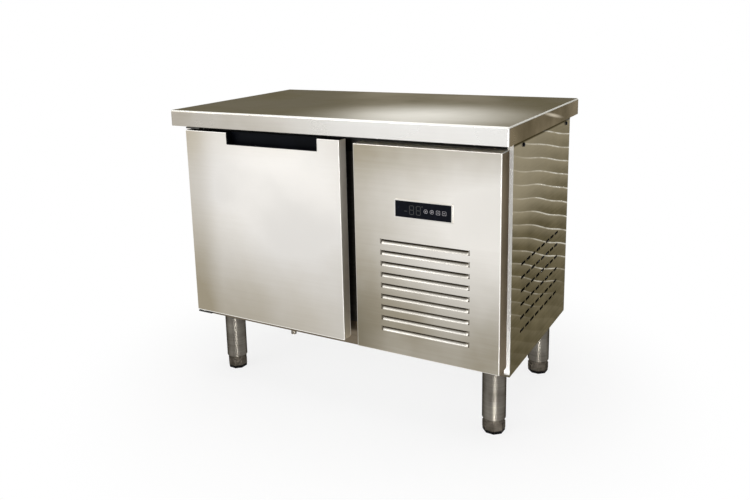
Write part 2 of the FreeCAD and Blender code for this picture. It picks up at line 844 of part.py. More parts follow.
# Fin and tube coils
def finned_coil(length, depth, height, rise, standoff_back, passes, fins, stub):
    """A serpentine tube along X in thin fins, between end plates that stand on z 0 and reach back to y 0."""
    plate_y = (NONE, standoff_back + depth)
    plate_z = (NONE, rise + height)
    fin_y = (standoff_back, standoff_back + depth)
    fin_z = (rise, rise + height)
    pieces = [box((NONE, D.end_plate_gauge), plate_y, plate_z),
              box((length - D.end_plate_gauge, length), plate_y, plate_z)]
    fin_pitch = length / (fins + 1)
    for i in range(int(fins.value)):
        centre = fin_pitch * (i + 1)
        pieces.append(box((centre - D.fin_gauge / 2, centre + D.fin_gauge / 2), fin_y, fin_z))
    step = height / passes
    tube_y = standoff_back + depth / 2
    last = int(passes.value) - 1
    outward = FreeCAD.Rotation(FreeCAD.Vector(1, 1, 1), -120)
    half_turn = FreeCAD.Rotation(FreeCAD.Vector(0, 0, 1), 180)
    for i in range(last + 1):
        tube_z = rise + step * (i + 0.5)
        end = length + stub if i in (0, last) else length
        pieces.append(rod("x", (tube_y, tube_z), (NONE, end), D.coil_tube_radius))
        if i < last:
            bend = doc.addObject("Part::Torus", "Bend")
            bend.Angle3 = 180
            bind(bend, Radius1=step / 2, Radius2=D.coil_tube_radius)
            at_far_end = i % 2 == 1
            place(bend, length if at_far_end else NONE, tube_y, tube_z + step / 2,
                  outward if at_far_end else half_turn.multiply(outward))
            pieces.append(bend)
    return fuse(*pieces)


evaporator = finned_coil(evaporator_length, D.evaporator_depth, evaporator_height, NONE,
                         D.evaporator_standoff, D.evaporator_passes, D.evaporator_fins, D.evaporator_stub)
node("evaporator_coil", place(evaporator, chamber_right, evaporator_front, evaporator_bottom,
                              FreeCAD.Rotation(FreeCAD.Vector(0, 0, 1), 90)))
condenser_left = bay_left + D.condenser_from_left
condenser_front = case_front + D.condenser_from_front
condenser_right = case_right - D.condenser_from_right
side_x = case_right - gauge - D.pipe_wall_gap
stub_x = side_x - D.pipe_stub_gap
condenser = finned_coil(condenser_right - condenser_left, D.condenser_depth, D.condenser_height,
                        D.condenser_rise, NONE, D.condenser_passes, D.condenser_fins,
                        stub_x - condenser_right)
node("condenser_coil", place(condenser, condenser_left, condenser_front, floor_inside))


# Axial fans with twisted blades
def fan_shape(hub_radius, tip_radius, depth):
    """A hub on Z from 0 to its depth, bored for its shaft, with blades twisted from root to tip."""
    def blade_section(radius, pitch_degrees):
        pitch = math.radians(pitch_degrees.value)
        half_rise = depth / 2 - D.fan_blade_margin.value
        along = FreeCAD.Vector(0, math.cos(pitch), math.sin(pitch)) * (half_rise / math.sin(pitch))
        across = FreeCAD.Vector(0, -math.sin(pitch), math.cos(pitch)) * (D.fan_blade_gauge.value / 2)
        middle = FreeCAD.Vector(radius, 0, depth / 2)
        corners = [middle + along + across, middle - along + across,
                   middle - along - across, middle + along - across]
        return Part.makePolygon(corners + corners[:1])

    sections = [blade_section(hub_radius - D.fan_blade_root.value, D.fan_root_pitch),
                blade_section(tip_radius, D.fan_tip_pitch)]
    blade = Part.makeLoft(sections, True, True)
    rim = Part.makeCylinder(tip_radius, depth)
    blade = blade.common(rim)
    count = int(D.fan_blade_count.value)
    fan = Part.makeCylinder(hub_radius, depth)
    for i in range(count):
        turned = blade.copy()
        turned.rotate(FreeCAD.Vector(), FreeCAD.Vector(0, 0, 1), 360 * i / count)
        fan = fan.fuse(turned)
    bore = Part.makeCylinder(D.fan_shaft_radius.value + D.pin_clearance.value, depth)
    return fan.cut(bore).removeSplitter()


# Evaporator unit on the chamber's right wall
chill_axis = ((cover_y[0] + cover_y[1]) / 2, (cover_z[0] + cover_z[1]) / 2)
cover_inside = cover_x[0] + D.cover_gauge
fan_opening = D.chill_fan_radius + D.chill_running_gap
cover_slots = []
slot_step = (cover_y[1] - cover_y[0]) / (D.cover_slot_count + 1)
for i in range(int(D.cover_slot_count.value)):
    slot_y = cover_y[0] + slot_step * (i + 1)
    cover_slots.append(box((cover_inside + D.chill_fan_depth, chamber_right - D.evaporator_standoff),
                           (slot_y - D.cover_slot_width / 2, slot_y + D.cover_slot_width / 2),
                           (cover_z[0] - gauge, cover_z[0] + D.cover_gauge * 2)))
node("evaporator_cover", cut(
    box(cover_x, cover_y, cover_z),
    box((cover_inside, chamber_right + gauge),
        (cover_y[0] + D.cover_gauge, cover_y[1] - D.cover_gauge),
        (cover_z[0] + D.cover_gauge, cover_z[1] - D.cover_gauge)),
    rod("x", chill_axis, (cover_x[0] - gauge, cover_inside + gauge), fan_opening),
    *cover_slots))

chill_fan_x = (cover_inside + D.chill_fan_gap, cover_inside + D.chill_fan_gap + D.chill_fan_depth)
chill_motor_x = (chill_fan_x[1] + D.fan_gap, chill_fan_x[1] + D.fan_gap + D.chill_motor_length)
node("evaporator_fan_motor", fuse(
    rod("x", chill_axis, chill_motor_x, D.chill_motor_radius),
    rod("x", chill_axis, (chill_fan_x[0], chill_motor_x[1]), D.fan_shaft_radius),
    box((chill_motor_x[1] - D.chill_bar_gauge, chill_motor_x[1]),
        (chill_axis[0] - D.chill_bar_width / 2, chill_axis[0] + D.chill_bar_width / 2),
        (cover_z[0] + D.cover_gauge, cover_z[1] - D.cover_gauge))))
node("evaporator_fan", solid(
    fan_shape(D.chill_hub_radius.value, D.chill_fan_radius.value, D.chill_fan_depth.value),
    *axis_point("x", chill_axis, chill_fan_x[0]), TURNS["x"]))

guard_x = (cover_x[0] - D.guard_gauge, cover_x[0])
guard_reach = fan_opening + D.guard_margin
guard_half = D.guard_bar_width / 2
guard_pieces = [
    box(guard_x, (chill_axis[0] - guard_half, chill_axis[0] + guard_half),
        (chill_axis[1] - guard_reach, chill_axis[1] + guard_reach)),
    box(guard_x, (chill_axis[0] - guard_reach, chill_axis[0] + guard_reach),
        (chill_axis[1] - guard_half, chill_axis[1] + guard_half)),
]
for i in range(int(D.guard_ring_count.value)):
    ring = doc.addObject("Part::Torus", "Ring")
    bind(ring, Radius1=fan_opening * (i + 1) / D.guard_ring_count, Radius2=D.guard_gauge / 2)
    place(ring, *axis_point("x", chill_axis, cover_x[0] - D.guard_gauge / 2), TURNS["x"])
    guard_pieces.append(ring)
node("fan_guard", fuse(*guard_pieces))

node("temperature_probe", rod(
    "y", (cover_x[0] - D.probe_from_cover, chamber_ceiling - D.probe_from_ceiling),
    (chamber_back - D.probe_length, chamber_back), D.probe_radius))

# Condenser fan behind its shroud
shroud_x = (condenser_left, condenser_right)
shroud_y = (condenser_front + D.condenser_depth, condenser_front + D.condenser_depth + D.shroud_depth)
shroud_z = (floor_inside + D.condenser_rise, floor_inside + D.condenser_rise + D.condenser_height)
fan_axis = ((shroud_x[0] + shroud_x[1]) / 2, (shroud_z[0] + shroud_z[1]) / 2)
node("fan_shroud", cut(
    box(shroud_x, shroud_y, shroud_z),
    box((shroud_x[0] + D.shroud_gauge, shroud_x[1] - D.shroud_gauge),
        (shroud_y[0] - gauge, shroud_y[1] - D.shroud_gauge),
        (shroud_z[0] + D.shroud_gauge, shroud_z[1] - D.shroud_gauge)),
    rod("y", fan_axis, (shroud_y[0], shroud_y[1] + gauge), D.fan_radius + D.fan_running_gap)))
fan_y = (shroud_y[1] + D.fan_gap, shroud_y[1] + D.fan_gap + D.fan_depth)
motor_y = (fan_y[1] + D.motor_gap, fan_y[1] + D.motor_gap + D.fan_motor_length)
post_y = (motor_y[1] - D.motor_post_back - D.motor_post_gauge, motor_y[1] - D.motor_post_back)
node("condenser_fan_motor", fuse(
    rod("y", fan_axis, motor_y, D.fan_motor_radius),
    rod("y", fan_axis, (fan_y[0], motor_y[1]), D.fan_shaft_radius),
    box((fan_axis[0] - D.motor_post_width / 2, fan_axis[0] + D.motor_post_width / 2), post_y,
        (floor_inside, fan_axis[1]))))
node("condenser_fan", solid(
    fan_shape(D.fan_hub_radius.value, D.fan_radius.value, D.fan_depth.value),
    *axis_point("y", fan_axis, fan_y[0]), TURNS["y"]))

# Compressor on four rubber grommets
compressor_at = (bay_left + D.compressor_from_left, pipe_y)
plate_bottom = floor_inside + D.grommet_height
plate_top = plate_bottom + D.compressor_plate_gauge
wall = D.compressor_wall
wide = D.compressor_radius
slope = D.compressor_shoulder
tall = D.compressor_height
shell = revolve(
    [(NONE, NONE), (wide - slope, NONE), (wide, slope), (wide, tall - slope * 2),
     (wide - slope, tall - slope / 2), (NONE, tall),
     (NONE, tall - wall), (wide - slope - wall / 2, tall - slope / 2 - wall), (wide - wall, tall - slope * 2),
     (wide - wall, slope + wall / 2), (wide - slope - wall / 2, wall), (NONE, wall)],
    *compressor_at, plate_top)
half_plate = (D.compressor_plate_length / 2, D.compressor_plate_width / 2)
stub_top = plate_top + tall + D.compressor_stub_rise
pipe_socket = D.pipe_radius + D.pipe_socket_wall
cold_stub = (compressor_at[0] - D.compressor_stub_spread, compressor_at[1])
hot_stub = (compressor_at[0] + D.compressor_stub_spread, compressor_at[1] + D.compressor_stub_offset)
compressor_stubs = [
    rod("z", stub, (plate_top + tall - wall, stub_top), pipe_socket) for stub in (cold_stub, hot_stub)
]
node("compressor", fuse(
    shell,
    box((compressor_at[0] - half_plate[0], compressor_at[0] + half_plate[0]),
        (compressor_at[1] - half_plate[1], compressor_at[1] + half_plate[1]), (plate_bottom, plate_top)),
    *compressor_stubs))
grommets = []
for side in (-1, 1):
    for end in (-1, 1):
        grommet_at = (compressor_at[0] + (half_plate[0] - D.grommet_inset) * side,
                      compressor_at[1] + (half_plate[1] - D.grommet_inset) * end)
        grommets.append(rod("z", grommet_at, (floor_inside, plate_bottom), D.grommet_radius))
node("compressor_grommets", group(*grommets))


# Refrigerant pipes with rounded bends
def pipe(points):
    """A pipe along straight legs joined by bends, placed at its first point."""
    start = points[0]
    corners = [FreeCAD.Vector(*(size.value - first.value for size, first in zip(point, start)))
               for point in points]
    edges = []
    here = corners[0]
    for i in range(1, len(corners) - 1):
        before = (corners[i] - corners[i - 1]).normalize()
        after = (corners[i + 1] - corners[i]).normalize()
        bend = D.pipe_bend.value
        arrive = corners[i] - before * bend
        leave = corners[i] + after * bend
        centre = arrive + after * bend
        middle = centre + (corners[i] - centre).normalize() * bend
        edges.append(Part.LineSegment(here, arrive).toShape())
        edges.append(Part.Arc(arrive, middle, leave).toShape())
        here = leave
    edges.append(Part.LineSegment(here, corners[-1]).toShape())
    heading = corners[1] - corners[0]
    ring = Part.Wire(Part.makeCircle(D.pipe_radius.value, corners[0], heading))
    shape = Part.Wire(edges).makePipeShell([ring], True, False)
    return solid(shape, *start)


drier_at = (case_right - D.drier_from_right, case_front + D.drier_from_front)
drier_z = (case_bottom + D.drier_from_bottom, case_bottom + D.drier_from_bottom + D.drier_length)
condenser_step = D.condenser_height / D.condenser_passes
condenser_tube_y = condenser_front + D.condenser_depth / 2
inlet_z = shroud_z[1] - condenser_step / 2
outlet_z = shroud_z[0] + condenser_step / 2
hot_z = shroud_z[1] + D.discharge_rise

node("discharge_pipe", pipe([
    (*hot_stub, stub_top), (*hot_stub, hot_z), (side_x, hot_stub[1], hot_z),
    (side_x, condenser_tube_y, hot_z), (side_x, condenser_tube_y, inlet_z),
    (stub_x, condenser_tube_y, inlet_z)]))
node("liquid_pipe", pipe([
    (stub_x, condenser_tube_y, outlet_z), (side_x, condenser_tube_y, outlet_z),
    (side_x, drier_at[1], outlet_z), (drier_at[0], drier_at[1], outlet_z), (*drier_at, drier_z[0])]))
node("capillary_pipe", pipe([
    (*drier_at, drier_z[1]), (*drier_at, capillary_z), (drier_at[0], pipe_y, capillary_z),
    (evaporator_tube_x, pipe_y, capillary_z), (evaporator_tube_x, evaporator_end_y, capillary_z)]))
node("suction_pipe", pipe([
    (evaporator_tube_x, evaporator_end_y, suction_z), (evaporator_tube_x, pipe_y, suction_z),
    (*cold_stub, suction_z), (*cold_stub, stub_top)]))
node("filter_drier", revolve(
    [(NONE, NONE), (pipe_socket, NONE), (D.drier_radius, D.drier_taper),
     (D.drier_radius, D.drier_length - D.drier_taper), (pipe_socket, D.drier_length),
     (NONE, D.drier_length)],
    *drier_at, drier_z[0]))

# Condensate pan, electrical box and cable gland
pan_x = (bay_left + D.pan_from_left, bay_left + D.pan_from_left + D.pan_width)
pan_y = (case_back - D.pan_from_back - D.pan_length, case_back - D.pan_from_back)
node("condensate_pan", cut(
    box(pan_x, pan_y, (floor_inside, floor_inside + D.pan_height)),
    box((pan_x[0] + D.pan_wall, pan_x[1] - D.pan_wall), (pan_y[0] + D.pan_wall, pan_y[1] - D.pan_wall),
        (floor_inside + D.pan_wall, floor_inside + D.pan_height + D.pan_wall))))
electric_y = case_front + D.electric_from_front
electric_top = case_top - D.electric_from_top
node("electrical_box", fillet(
    box((bay_left, bay_left + D.electric_depth), (electric_y, electric_y + D.electric_length),
        (electric_top - D.electric_height, electric_top)),
    D.electric_corner, lambda edge: edge_runs(edge, 0)))
nut_top = D.gland_nut_height
cap_base = nut_top + gauge
cap_top = cap_base + D.gland_cap_height
node("cable_gland", revolve(
    [(D.gland_bore, NONE), (D.gland_nut_radius, NONE), (D.gland_nut_radius, nut_top),
     (D.gland_neck, nut_top), (D.gland_neck, cap_base), (D.gland_cap_radius, cap_base),
     (D.gland_cap_radius, cap_top - D.gland_taper), (D.gland_neck, cap_top), (D.gland_bore, cap_top)],
    *axis_point("y", gland, back_inside - D.gland_nut_height), TURNS["y"]))

# Worktop bearer, an angle riveted inside the right side panel
bearer_x = (case_right - gauge - D.bearer_leg, case_right - gauge)
bearer_y = (front_inside + D.bearer_end_gap, back_inside - D.bearer_end_gap)
bearer_holes = [
    rod("x", (y, rivet_z), (bearer_x[1] - D.bearer_leg / 2, case_right), screw_hole) for y in rivet_y
]
node("worktop_bearer", cut(
    fuse(box(bearer_x, bearer_y, (case_top - D.bearer_gauge, case_top)),
         box((bearer_x[1] - D.bearer_gauge, bearer_x[1]), bearer_y, (case_top - D.bearer_leg, case_top))),
    *bearer_holes))

# Machine panel: a shallow tray with pressed louvres and a cut-out for the controller
panel = node("machine_panel", new_body(panel_left, front, panel_bottom))
panel_sketch = new_sketch(panel, "XY_Plane")
draw_rectangle(panel_sketch, (NONE, panel_width), (NONE, standoff))
pad(panel, panel_sketch, panel_height)
round_edges(panel, D.panel_edge_radius, lambda edge: lies_at(edge, 1, 0))
hollow(panel, gauge, lambda face: lies_at(face, 1, standoff.value))

display_x = D.display_from_left
display_z = panel_height - D.display_from_top
housing_x = D.bezel_width / 2 - D.bezel_end_lap
housing_z = D.bezel_height / 2 - D.bezel_edge_lap
cutout_x = housing_x + D.controller_clearance
cutout_z = housing_z + D.controller_clearance
cutout_sketch = new_sketch(panel, "XZ_Plane")
draw_rectangle(cutout_sketch, (display_x - cutout_x, display_x + cutout_x),
               (display_z - cutout_z, display_z + cutout_z))
pocket(panel, cutout_sketch, gauge * 2, False)

louvre_x = (D.louvre_from_left, D.louvre_from_left + D.louvre_length)
louvre_top = panel_height - D.louvre_from_top
louvre_bottom = louvre_top - D.louvre_height
louvre_run = louvre_bottom - D.louvre_from_bottom
mouth_sketch = new_sketch(panel, "XZ_Plane")
draw_rectangle(mouth_sketch, louvre_x, (louvre_bottom, louvre_top))
louvre_mouth = pocket(panel, mouth_sketch, gauge * 2, False)
blade_sketch = new_sketch(panel, "YZ_Plane", louvre_x[0])
blade_drop = D.louvre_blade_gauge
draw_outline(blade_sketch, [
    (NONE, louvre_bottom - blade_drop), (D.louvre_depth, louvre_bottom + D.louvre_rise - blade_drop),
    (D.louvre_depth, louvre_bottom + D.louvre_rise), (NONE, louvre_bottom)])
louvre_blade = pad(panel, blade_sketch, D.louvre_length)
louvre_cheeks = []
for cheek_x in (louvre_x[0], louvre_x[1] - gauge):
    cheek_sketch = new_sketch(panel, "YZ_Plane", cheek_x)
    draw_outline(cheek_sketch, [
        (NONE, louvre_bottom - blade_drop), (D.louvre_depth, louvre_bottom + D.louvre_rise - blade_drop),
        (D.louvre_depth, louvre_bottom + D.louvre_rise), (gauge, louvre_top), (NONE, louvre_top)])
    louvre_cheeks.append(pad(panel, cheek_sketch, gauge))
louvres = panel.newObject("PartDesign::LinearPattern", "Louvres")
louvres.Originals = [louvre_mouth, louvre_blade, *louvre_cheeks]
louvres.Direction = (origin(panel, "Z_Axis"), [""])
louvres.Reversed = True
bind(louvres, Length=louvre_run, Occurrences=D.louvre_count)
panel.Tip = louvres

# Controller: housing behind the panel, bezel and dark window in front of it
display = (panel_left + display_x, panel_bottom + display_z)
node("controller_housing", box(
    (display[0] - housing_x, display[0] + housing_x), (front, front + D.controller_depth),
    (display[1] - housing_z, display[1] + housing_z)))
bezel = node("controller_bezel", new_body(
    display[0] - D.bezel_width / 2, front - D.bezel_proud, display[1] - D.bezel_height / 2))
bezel_sketch = new_sketch(bezel, "XY_Plane")
draw_rectangle(bezel_sketch, (NONE, D.bezel_width), (NONE, D.bezel_proud))
pad(bezel, bezel_sketch, D.bezel_height)
round_edges(bezel, D.bezel_corner, lambda edge: edge_runs(edge, 1))
opening_sketch = new_sketch(bezel, "XZ_Plane")
draw_rectangle(opening_sketch, (D.bezel_rim, D.bezel_width - D.bezel_rim),
               (D.bezel_rim, D.bezel_height - D.bezel_rim))
pocket(bezel, opening_sketch, D.bezel_proud, False)
window_half = (D.bezel_width / 2 - D.bezel_rim - D.window_clearance,
               D.bezel_height / 2 - D.bezel_rim - D.window_clearance)
node("controller_window", box(
    (display[0] - window_half[0], display[0] + window_half[0]),
    (front - D.bezel_proud + D.window_setback, front),
    (display[1] - window_half[1], display[1] + window_half[1])))

# Door: steel skin with a notch in its top edge
door_width = door_right - door_left
skin = node("door_skin", new_body(door_left, front, door_bottom))
skin_sketch = new_sketch(skin, "XY_Plane")
draw_outline(skin_sketch, [
    (NONE, NONE), (door_width, NONE), (door_width, skin_depth), (door_width - gauge, skin_depth),
    (door_width - gauge, gauge), (gauge, gauge), (gauge, skin_depth), (NONE, skin_depth)])
pad(skin, skin_sketch, door_height)
round_edges(skin, D.door_edge_radius, lambda edge: edge_runs(edge, 2) and lies_at(edge, 1, 0))
round_edges(skin, D.door_edge_radius - gauge,
            lambda edge: edge_runs(edge, 2) and lies_at(edge, 1, gauge.value))
notch_sketch = new_sketch(skin, "XZ_Plane")
draw_rectangle(notch_sketch, (D.notch_from_left, D.notch_from_left + D.notch_width),
               (door_height - D.notch_height, door_height))
pocket(skin, notch_sketch, gauge, False)

# Door: plastic end caps, foam and liner inside the skin
inside_x = (door_left + gauge, door_right - gauge)
inside_y = (front + gauge, front + skin_depth)
notch_x = (door_left + D.notch_from_left, door_left + D.notch_from_left + D.notch_width)
notch_z = door_top - D.notch_height
grip_back = front + gauge + D.grip_depth


def grip_space(grow, top):
    """The grip recess behind the notch, grown by a wall at its sides, back and bottom."""
    return box((notch_x[0] - grow, notch_x[1] + grow), (front + gauge, grip_back + grow),
               (notch_z - D.grip_undercut - grow, top))


top_cap_z = (door_top - D.door_cap_thick, door_top)
bottom_cap_z = (door_bottom, door_bottom + D.door_cap_thick)


def inside_block(z):
    """A block that fills the skin's inside, with the skin's front corners."""
    return fillet(box(inside_x, inside_y, z), D.door_edge_radius,
                  lambda edge: edge_runs(edge, 2) and lies_at(edge, 1, inside_y[0].value))


node("door_handle_cap", cut(
    fuse(inside_block(top_cap_z), grip_space(D.grip_wall, door_top)),
    grip_space(NONE, door_top + D.grip_wall),
    rod("z", pivot, top_cap_z, D.bush_radius)))
node("door_bottom_cap", cut(inside_block(bottom_cap_z), rod("z", pivot, bottom_cap_z, D.bush_radius)))
node("door_foam", cut(inside_block((bottom_cap_z[1], top_cap_z[0])), grip_space(D.grip_wall, door_top)))

liner_y = (front + skin_depth, front + D.door_thick)
margin = D.door_liner_margin
dam = D.door_dam_inset
node("door_liner", fuse(
    box((door_left + margin, door_right - margin), liner_y, (door_bottom + margin, door_top - margin)),
    box((door_left + dam, door_right - dam), (liner_y[1], liner_y[1] + D.door_dam_height),
        (door_bottom + dam, door_top - dam))))


# Door: bellows gasket
def gasket_ring(inset, width, y):
    """A rectangular ring of the gasket, set in from the door's edges."""
    inner = inset + width
    reach = D.gasket_thick
    return cut(
        box((door_left + inset, door_right - inset), y, (door_bottom + inset, door_top - inset)),
        box((door_left + inner, door_right - inner), (y[0] - reach, y[1] + reach),
            (door_bottom + inner, door_top - inner)))


gasket_y = (liner_y[1], case_front - D.gasket_clearance)
gasket_third = (gasket_y[1] - gasket_y[0]) / 3
waist_y = (gasket_y[0] + gasket_third, gasket_y[0] + gasket_third * 2)
node("door_gasket", fuse(
    gasket_ring(D.gasket_inset, D.gasket_width, (gasket_y[0], waist_y[0])),
    gasket_ring(D.gasket_inset + D.gasket_waist, D.gasket_width - D.gasket_waist * 2, waist_y),
    gasket_ring(D.gasket_inset, D.gasket_width, (waist_y[1], gasket_y[1]))))

# Hinges: bushes in the door's caps, pins on the case's brackets
bush_bore = D.pin_radius + D.pin_clearance
flange_height = D.bracket_drop - D.thrust_clearance
top_bush = revolve(
    [(bush_bore, NONE), (D.bush_radius, NONE), (D.bush_radius, D.door_cap_thick),
     (bush_bore, D.door_cap_thick)],
    *pivot, top_cap_z[0])
bottom_bush = revolve(
    [(bush_bore, NONE), (D.bush_flange_radius, NONE), (D.bush_flange_radius, flange_height),
     (D.bush_radius, flange_height), (D.bush_radius, flange_height + D.door_cap_thick),
     (bush_bore, flange_height + D.door_cap_thick)],
    *pivot, door_bottom - flange_height)
node("hinge_bushes", group(top_bush, bottom_bush))


def bracket_screw_holes(z):
    return [rod("y", (x, z), (bracket_leg_y[0] - gauge, front_inside), screw_hole) for x in bracket_screw_x]


node("top_hinge_bracket", cut(
    fuse(box(bracket_x, bracket_y, top_bracket_z), box(bracket_x, bracket_leg_y, top_leg_z),
         rod("z", pivot, (top_cap_z[0] + D.pin_end_gap, top_bracket_z[1]), D.pin_radius)),
    *bracket_screw_holes(top_screw_z)))
node("bottom_hinge_bracket", cut(
    fuse(box(bracket_x, bracket_y, bottom_bracket_z), box(bracket_x, bracket_leg_y, bottom_leg_z),
         rod("z", pivot, (bottom_bracket_z[0], bottom_cap_z[1] - D.pin_end_gap), D.pin_radius)),
    *bracket_screw_holes(bottom_screw_z)))


# Screws and rivets of the case
def screw(axis, centre, head, tip, head_radius):
    """A round head from head to its seat, and a shank from there to its tip, along one axis."""
    seat, outer = head
    low, high = (outer, seat) if outer.value < seat.value else (seat, outer)
    first, last = (seat, tip) if seat.value < tip.value else (tip, seat)
    return fuse(rod(axis, centre, (low, high), head_radius), rod(axis, centre, (first, last), D.screw_radius))


bracket_head = (bracket_leg_y[0], bracket_leg_y[0] - D.screw_head_height)
rail_head = (case_front, case_front - D.screw_head_height)
rivet_head = (case_right, case_right + D.screw_head_height)
screws = [screw("y", (x, z), bracket_head, front_inside, D.screw_head_radius)
          for x in bracket_screw_x for z in (top_screw_z, bottom_screw_z)]
screws += [screw("y", (x, rail_screw_z), rail_head, front_inside, D.screw_head_radius) for x in rail_screw_x]
screws += [screw("x", (y, rivet_z), rivet_head, bearer_x[1] - D.bearer_gauge, D.rivet_head_radius)
           for y in rivet_y]
node("case_screws", group(*screws))

# Legs with welded plates, their bolts and their screw feet
FOOT_GRIP_SIDES = 8
BOLT_HEAD_SIDES = 6
leg_radius = D.leg_diameter / 2
leg_plate_z = (case_bottom - D.leg_plate_gauge, case_bottom)
stud_bore = D.stud_radius + D.stud_clearance
half = D.leg_plate / 2
for name, (x, y) in leg_places.items():
    bolt_bores = [
        rod("z", (x + D.leg_bolt_spread * side, y + D.leg_bolt_spread * end),
            (leg_plate_z[0] - gauge, case_bottom), D.bolt_radius + D.hole_clearance)
        for side in (-1, 1) for end in (-1, 1)
    ]
    tube = rod("z", (x, y), (D.foot_height, leg_plate_z[0]), leg_radius)
    plate = box((x - half, x + half), (y - half, y + half), leg_plate_z)
    insert_top = D.foot_height + D.leg_insert_height
    hollow_tube = rod("z", (x, y), (insert_top, leg_plate_z[0]), leg_radius - D.leg_wall)
    stud_hole = rod("z", (x, y), (D.foot_height, insert_top), stud_bore)
    node(f"leg_{name}", cut(fuse(tube, plate), hollow_tube, stud_hole, *bolt_bores))

    grip_radius = D.foot_grip_diameter / 2
    taper = doc.addObject("Part::Cone", "Taper")
    bind(taper, Radius1=grip_radius - D.foot_chamfer, Radius2=grip_radius, Height=D.foot_chamfer)
    place(taper, x, y, NONE)
    envelope = fuse(taper, rod("z", (x, y), (D.foot_chamfer, D.foot_grip_height), grip_radius))
    grip = doc.addObject("Part::Common", "Grip")
    grip.Base = many_sided((x, y), (NONE, D.foot_grip_height), grip_radius, FOOT_GRIP_SIDES)
    grip.Tool = envelope
    neck = rod("z", (x, y), (D.foot_grip_height, D.foot_height), D.foot_neck_diameter / 2)
    stud = rod("z", (x, y), (D.foot_grip_height, D.foot_height + D.stud_length), D.stud_radius)
    node(f"foot_{name}", fuse(grip, neck, stud))

bolts = []
for place_xy in bolt_places:
    head_z = (leg_plate_z[0] - D.bolt_head_height, leg_plate_z[0])
    head = many_sided(place_xy, head_z, D.bolt_head_radius, BOLT_HEAD_SIDES)
    shank = rod("z", place_xy, (leg_plate_z[0], floor_inside), D.bolt_radius)
    bolts.append(fuse(head, shank))
node("leg_bolts", group(*bolts))

# Checks, then one file per node
doc.recompute()
for item in doc.Objects:
    if "Invalid" in item.State or "Error" in item.State:
        raise RuntimeError(f"{item.Name} ({item.Label}) did not build: {item.State}")
for item in nodes:
    if item.Shape.isNull() or not item.Shape.isValid() or not item.Shape.Solids:
        raise RuntimeError(f"{item.Label} has no valid solid")
    item.Shape.exportStep(f"parts/{item.Label}.step")
print(len(nodes), "nodes written")
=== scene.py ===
import math
import bmesh
import bpy
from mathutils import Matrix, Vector


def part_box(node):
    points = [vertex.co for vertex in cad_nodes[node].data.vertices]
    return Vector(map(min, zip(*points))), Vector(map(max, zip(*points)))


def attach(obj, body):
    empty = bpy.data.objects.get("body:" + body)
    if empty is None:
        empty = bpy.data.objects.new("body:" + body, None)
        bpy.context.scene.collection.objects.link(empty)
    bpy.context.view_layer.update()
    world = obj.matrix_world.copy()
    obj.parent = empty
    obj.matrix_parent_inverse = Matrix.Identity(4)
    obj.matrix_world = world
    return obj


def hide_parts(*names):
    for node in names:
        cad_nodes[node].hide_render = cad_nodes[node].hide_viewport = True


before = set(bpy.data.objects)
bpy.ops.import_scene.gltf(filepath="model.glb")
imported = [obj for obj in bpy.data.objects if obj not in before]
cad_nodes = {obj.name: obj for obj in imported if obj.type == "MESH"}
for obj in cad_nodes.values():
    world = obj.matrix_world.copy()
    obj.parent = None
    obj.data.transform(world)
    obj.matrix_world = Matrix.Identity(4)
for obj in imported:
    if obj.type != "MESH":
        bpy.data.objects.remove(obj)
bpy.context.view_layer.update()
scene = bpy.context.scene
MM = 0.001


# Studio
# A wide pale floor, matt round the legs where the shadow lies and white further off. A low lamp and a narrow
# one near the floor shine from the front right, a broad one from the left, one from above, a weak one behind.

def add(tree, kind, sockets=None, **options):
    """Adds one node. A socket takes a number, a colour or another node's output."""
    made = tree.nodes.new(kind)
    for name, value in options.items():
        setattr(made, name, value)
    for name, value in (sockets or {}).items():
        if isinstance(value, bpy.types.NodeSocket):
            tree.links.new(value, made.inputs[name])
        else:
            made.inputs[name].default_value = value
    return made


def reckon(tree, operation, *values):
    """One step of arithmetic on numbers or outputs."""
    return add(tree, "ShaderNodeMath", dict(enumerate(values)), operation=operation).outputs[0]


def vector_step(tree, operation, *values):
    """One step of arithmetic on places or ways."""
    return add(tree, "ShaderNodeVectorMath", dict(enumerate(values)), operation=operation).outputs


def times(tree, *values):
    """The product of several numbers or outputs."""
    total = values[0]
    for value in values[1:]:
        total = reckon(tree, "MULTIPLY", total, value)
    return total


def ease(tree, value, start, end, low=0.0, high=1.0):
    """Goes softly from low to high while the value goes from start to end."""
    limits = {"Value": value, "From Min": start, "From Max": end, "To Min": low, "To Max": high}
    return add(tree, "ShaderNodeMapRange", limits, interpolation_type="SMOOTHSTEP").outputs["Result"]


def tint(tree, share, first, second):
    """A colour between two others."""
    made = add(tree, "ShaderNodeMix", {0: share}, data_type="RGBA")
    for place, colour in ((6, first), (7, second)):
        if isinstance(colour, bpy.types.NodeSocket):
            tree.links.new(colour, made.inputs[place])
        else:
            made.inputs[place].default_value = (*colour, 1.0)
    return made.outputs[2]


def rays_that_show(tree):
    """1 for what the camera sees, straight, mirrored or through glass, and 0 for light on matt surfaces."""
    path = add(tree, "ShaderNodeLightPath").outputs
    straight_or_mirrored = reckon(tree, "ADD", path["Is Camera Ray"], path["Is Glossy Ray"])
    every = reckon(tree, "ADD", straight_or_mirrored, path["Is Transmission Ray"])
    return reckon(tree, "MINIMUM", every, 1.0)


scene.view_settings.view_transform = "Standard"

